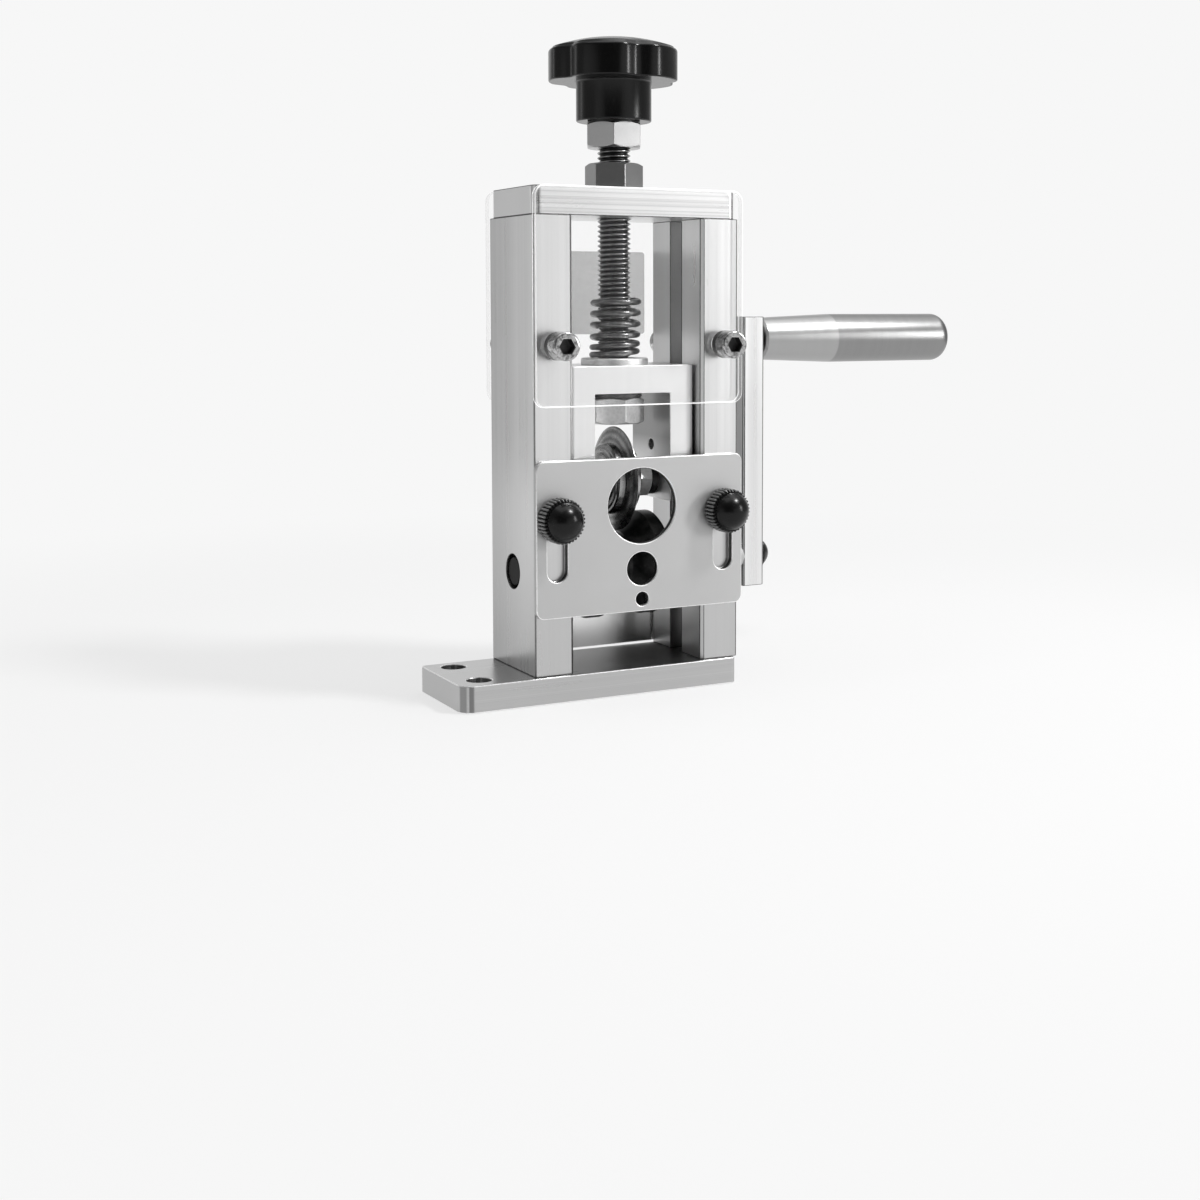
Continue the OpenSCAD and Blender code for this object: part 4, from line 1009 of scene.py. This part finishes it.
def makeStarKnob(size):
    low, high = boxOf("star_knob")
    bottom = low.z - size["sit"]
    top = high.z - size["crown"]
    outer, r, small = size["outer"], size["round"], size["innerRound"]
    outline = [(0, bottom + size["recessDeep"]), (size["recess"], bottom + size["recessDeep"]),
               (size["recessLip"], bottom)]
    outline += arc(size["hub"] - small, bottom + small, small, -90, 0)
    outline += [(size["hub"] + out, size["rimFrom"] + up) for out, up in size["fillet"]]
    outline += arc(outer - small, size["rimFrom"] + small, small, -90, 0)
    outline += arc(outer - r, size["rimTo"] - r, r, 0, size["roundTo"])
    outline += cap(top, outer, top - size["rimTo"], outer - r, size["capSteps"], size["capSteps"])
    bm = spun(outline, steps=size["steps"])
    hollowFrom = size["hollowFrom"]

    def intoHollow(point):
        radius = hypot(point.x, point.y)
        angle = atan2(point.y, point.x) - radians(size["firstHollow"])
        wave = ((1 + cos(size["lobes"] * angle)) / 2) ** size["narrow"]
        share = min(max((radius - hollowFrom) / (outer - small - hollowFrom), 0), 1)
        smaller = (radius - size["depth"] * wave * share) / radius
        return Vector((point.x * smaller, point.y * smaller, point.z))

    push(bm, lambda p: p.z > size["rimFrom"] - size["slack"] and hypot(p.x, p.y) > hollowFrom, intoHollow)
    finishPiece("star_knob.moulded", bm, "knobPlastic", ["star_knob"], sharp=size["sharp"])


makeStarKnob(knob)

# Thumb screw heads: a knurled drum with a dome on its face

thumb = {
    "ridges": 36,
    "ridge": (1, 0.55, 0.08, 0, 0.08, 0.55),   # share of the valley's depth at each step of a ridge
    "depth": 0.75,
    "drum": 6.5,
    "outer": 8,
    "edge": 0.9,           # the drum's rounded edge: its width, then its middle point's place
    "edgeIn": 0.25,
    "edgeLow": 0.55,
    "edgeHigh": 0.45,
    "dome": 6.7,
    "domeStep": 0.02,
    "domeReach": 0.995,
    "domeSteps": 12,
    "lip": 0.8,
    "slack": 0.01,
    "sharp": 28,
}


def makeThumbKnob(node, finish, size):
    low, high = boxOf(node)
    length = high.y - low.y
    outer, edge, drum, dome = size["outer"], size["edge"], size["drum"], size["dome"]
    middle = outer - size["edgeIn"]
    perRidge = len(size["ridge"])
    domeFrom = drum + size["lip"]
    outline = [(0, 0), (outer - edge, 0), (middle, edge * size["edgeLow"]), (outer, edge),
               (outer, drum - edge), (middle, drum - edge * size["edgeHigh"]), (outer - edge, drum),
               (dome, drum + size["domeStep"]), (dome, domeFrom)]
    outline += cap(length, dome, length - domeFrom, dome * size["domeReach"], size["domeSteps"],
                   size["domeSteps"] - 1)
    bm = spun(outline, steps=size["ridges"] * perRidge)

    def intoValley(point):
        radius = hypot(point.x, point.y)
        step = round(atan2(point.y, point.x) / (2 * pi) * size["ridges"] * perRidge) % perRidge
        smaller = (radius - size["depth"] * size["ridge"][step]) / radius
        return Vector((point.x * smaller, point.y * smaller, point.z))

    push(bm, lambda p: hypot(p.x, p.y) > outer - edge - size["slack"] and p.z < drum + size["slack"],
         intoValley)
    turnTo(bm, (0, -1, 0), ((low.x + high.x) / 2, high.y, (low.z + high.z) / 2))
    finishPiece(node + ".knurled", bm, finish, [node], sharp=size["sharp"])


makeThumbKnob("left_thumb_knob", "leftThumbPlastic", thumb)
makeThumbKnob("right_thumb_knob", "rightThumbPlastic", thumb)
print("star knob and thumb screws")

# Blade and its flanges, turned with shallow steps

blade = {
    "bore": 4.05,
    "bevel": 12.5,         # radius at which the grinding starts
    "step": 1.2,           # how far inside that a small step starts, and its depth
    "stepDeep": 0.08,
    "grind": 1.6,          # how far inside the rim the last grinding starts, and half the thickness there
    "grindHalf": 0.52,
    "tip": 0.1,
    "edge": 0.15,
    "edgeLeft": 0.6,
    "steps": 120,
    "sharp": 20,
}
# Radius and height of each turned step of a flange
flange = {
    "outline": ((0, 0), (13, 0), (13, 2.2), (12.4, 2.7), (11.4, 2.7), (11.2, 3.0), (10.2, 3.3), (9.9, 3.15),
                (9.5, 3.15), (9.2, 3.6), (8, 4), (7.2, 4), (7.0, 3.8), (6.6, 3.8), (6.4, 4), (0, 4)),
    "bore": 4.05,
    "edge": 0.08,
    "steps": 96,
    "sharp": 28,
}


def makeBlade(size):
    low, high = boxOf("blade_disc")
    rim = (high.z - low.z) / 2
    outline = [(size["bore"], -high.x), (size["bevel"] - size["step"], -high.x),
               (size["bevel"], -high.x + size["stepDeep"]), (rim - size["grind"], -size["grindHalf"]),
               (rim - size["tip"], -size["edge"]), (rim, -size["edge"] * size["edgeLeft"])]
    outline += [(radius, -height) for radius, height in reversed(outline)]
    bm = spun(outline, steps=size["steps"])
    turnTo(bm, (1, 0, 0), bladeCentre)
    finishPiece("blade_disc.ground", bm, "facedBlade", ["blade_disc"], sharp=size["sharp"])


def makeFlange(node, side, size):
    low, high = boxOf(node)
    bm = spun([(max(radius, size["bore"]), height) for radius, height in size["outline"]],
              steps=size["steps"])
    inner = low.x if side > 0 else high.x
    turnTo(bm, (side, 0, 0), (inner, 0, bladeCentre[2]))
    finishPiece(node + ".turned", bm, "facedFlange", [node], edge=size["edge"], sharp=size["sharp"])


makeBlade(blade)
makeFlange("left_blade_flange", -1, flange)
makeFlange("right_blade_flange", 1, flange)

# Grip: a cone from the arm, a line where it meets the cylinder, a rounded end

grip = {"neck": 8, "cone": gripCone, "end": 5, "endSteps": 14, "bore": 4.05, "deep": 66.5, "lip": 0.8,
        "steps": 120, "sharp": 12}


def makeGrip(size):
    low, high = boxOf("crank_grip")
    length = high.x - low.x
    outer = (high.z - low.z) / 2
    outline = [(size["bore"], 0), (size["neck"] - size["lip"], 0), (size["neck"], size["lip"])]
    outline += [(outer, size["cone"])]
    outline += arc(outer - size["end"], length - size["end"], size["end"], 0, 90, steps=size["endSteps"])
    outline += [(0, length), (0, size["deep"]), (size["bore"], size["deep"])]
    bm = spun(outline, steps=size["steps"])
    turnTo(bm, (1, 0, 0), (low.x, 0, (low.z + high.z) / 2))
    finishPiece("crank_grip.turned", bm, "turnedGrip", ["crank_grip"], sharp=size["sharp"])


makeGrip(grip)
print("blade, flanges and grip")

# Floor, backdrop and light

studio = {
    "background": 0.93,
    "floorSize": 0.8,      # metres
    "floorSteps": 64,
    "floorDrop": 0.0002,
    "floorGrey": 0.78,
    "floorGlow": 0.72,     # share of the background's colour near the part; it grows to 1 at fadeTo
    "fadeFrom": 0.2,
    "fadeTo": 0.55,
    "rest": 0.26,          # how light the room is apart from its patches
    "backdrop": (154, 4, 44, 22),   # azimuth, height, outer and inner angle of the sheet behind the part
    # Azimuth and height of a patch of the room, its outer and inner angle and how much lighter it is
    "patches": (
        (17, 1, 26, 8, 0.58),
        (-30, 4, 60, 20, -0.17),
        (-154, 0, 34, 12, 0.16),
        (-90, 0, 36, 14, 0.1),
        (92, 0, 36, 14, 0.08),
        (-70, 2, 22, 8, 0.4),
        (105, 60, 32, 14, 0.7),
        (0, 90, 60, 20, 0.12),
    ),
}
seenRays = (0, 3, 6)   # Light Path's outputs for camera, glossy and transmission rays


def makeFloor(size):
    bm = bmesh.new()
    bmesh.ops.create_circle(bm, cap_ends=True, segments=size["floorSteps"], radius=size["floorSize"])
    bmesh.ops.translate(bm, vec=(0, 0, -size["floorDrop"]), verts=bm.verts)
    mesh = bpy.data.meshes.new("floor")
    bm.to_mesh(mesh)
    bm.free()
    floor = bpy.data.objects.new("floor", mesh)
    scene.collection.objects.link(floor)
    finish = Finish("paleFloor")
    away = finish.length(finish.place)
    glow = finish.add("ShaderNodeEmission", None, {"Color": grey(size["background"]), "Strength": 1})
    matt = finish.add("ShaderNodeBsdfDiffuse", None, {"Color": grey(size["floorGrey"])})
    camera, glossy, through = [finish.add("ShaderNodeLightPath", out=i) for i in seenRays]
    direct = finish.clamp(camera + glossy + through)
    far = finish.smooth(away, size["fadeFrom"], size["fadeTo"]) * (1 - size["floorGlow"])
    share = finish.clamp(size["floorGlow"] + far) * direct
    finish.link(finish.add("ShaderNodeMixShader", None, {0: share, 1: matt, 2: glow}))
    mesh.materials.append(finishes["paleFloor"])


# A pale studio: a window ahead on the right, a dim corner where the camera stands, an even rest
def makeWorld(size):
    world = bpy.data.worlds.new("studio")
    world.use_nodes = True
    scene.world = world
    sky = NodeMaker(world.node_tree)
    towards = sky.add("ShaderNodeTexCoord", out=0)
    level = size["rest"]
    for azimuth, height, outer, inner, change in size["patches"]:
        level = sky.patch(towards, azimuth, height, outer, inner) * change + level
    camera, glossy, through = [sky.add("ShaderNodeLightPath", out=i) for i in seenRays]
    share = sky.clamp(camera + (glossy + through) * sky.patch(towards, *size["backdrop"]))
    around = sky.add("ShaderNodeBackground", None, {"Color": grey(1), "Strength": level})
    backdrop = sky.add("ShaderNodeBackground", None, {"Color": grey(size["background"]), "Strength": 1})
    mixed = sky.add("ShaderNodeMixShader", None, {0: share, 1: around, 2: backdrop})
    sky.add("ShaderNodeOutputWorld", None, {"Surface": mixed})


lamps = {
    "tallStrip": {"azimuth": 48, "height": 0.32, "distance": 1.15, "size": (0.14, 0.4), "watts": 3.0},
    "highKey": {"azimuth": 46, "height": 1.02, "distance": 0.76, "size": (0.18, 0.17), "watts": 10.5},
    "topBox": {"azimuth": 10, "height": 1.4, "distance": 0.1, "size": (1.4, 1.0), "watts": 6},
    "backStrip": {"azimuth": -142, "height": 0.3, "distance": 1.2, "size": (0.14, 0.6), "watts": 0.35},
}
lampAim = Vector((0, 0, 0.12))   # the middle of the part


# A lamp stands at an azimuth seen from above, 0 being straight in front, and looks at the middle of the part
def makeLamp(name, size):
    lamp = bpy.data.lights.new(name, "AREA")
    lamp.shape = "RECTANGLE"
    lamp.size, lamp.size_y = size["size"]
    lamp.energy = size["watts"]
    stand = bpy.data.objects.new(name, lamp)
    angle = radians(size["azimuth"])
    stand.location = (sin(angle) * size["distance"], -cos(angle) * size["distance"], size["height"])
    aim = lampAim - stand.location
    stand.rotation_euler = aim.to_track_quat("-Z", "Y").to_euler()
    scene.collection.objects.link(stand)


makeFloor(studio)
makeWorld(studio)
for name, size in lamps.items():
    makeLamp(name, size)
print("studio made")
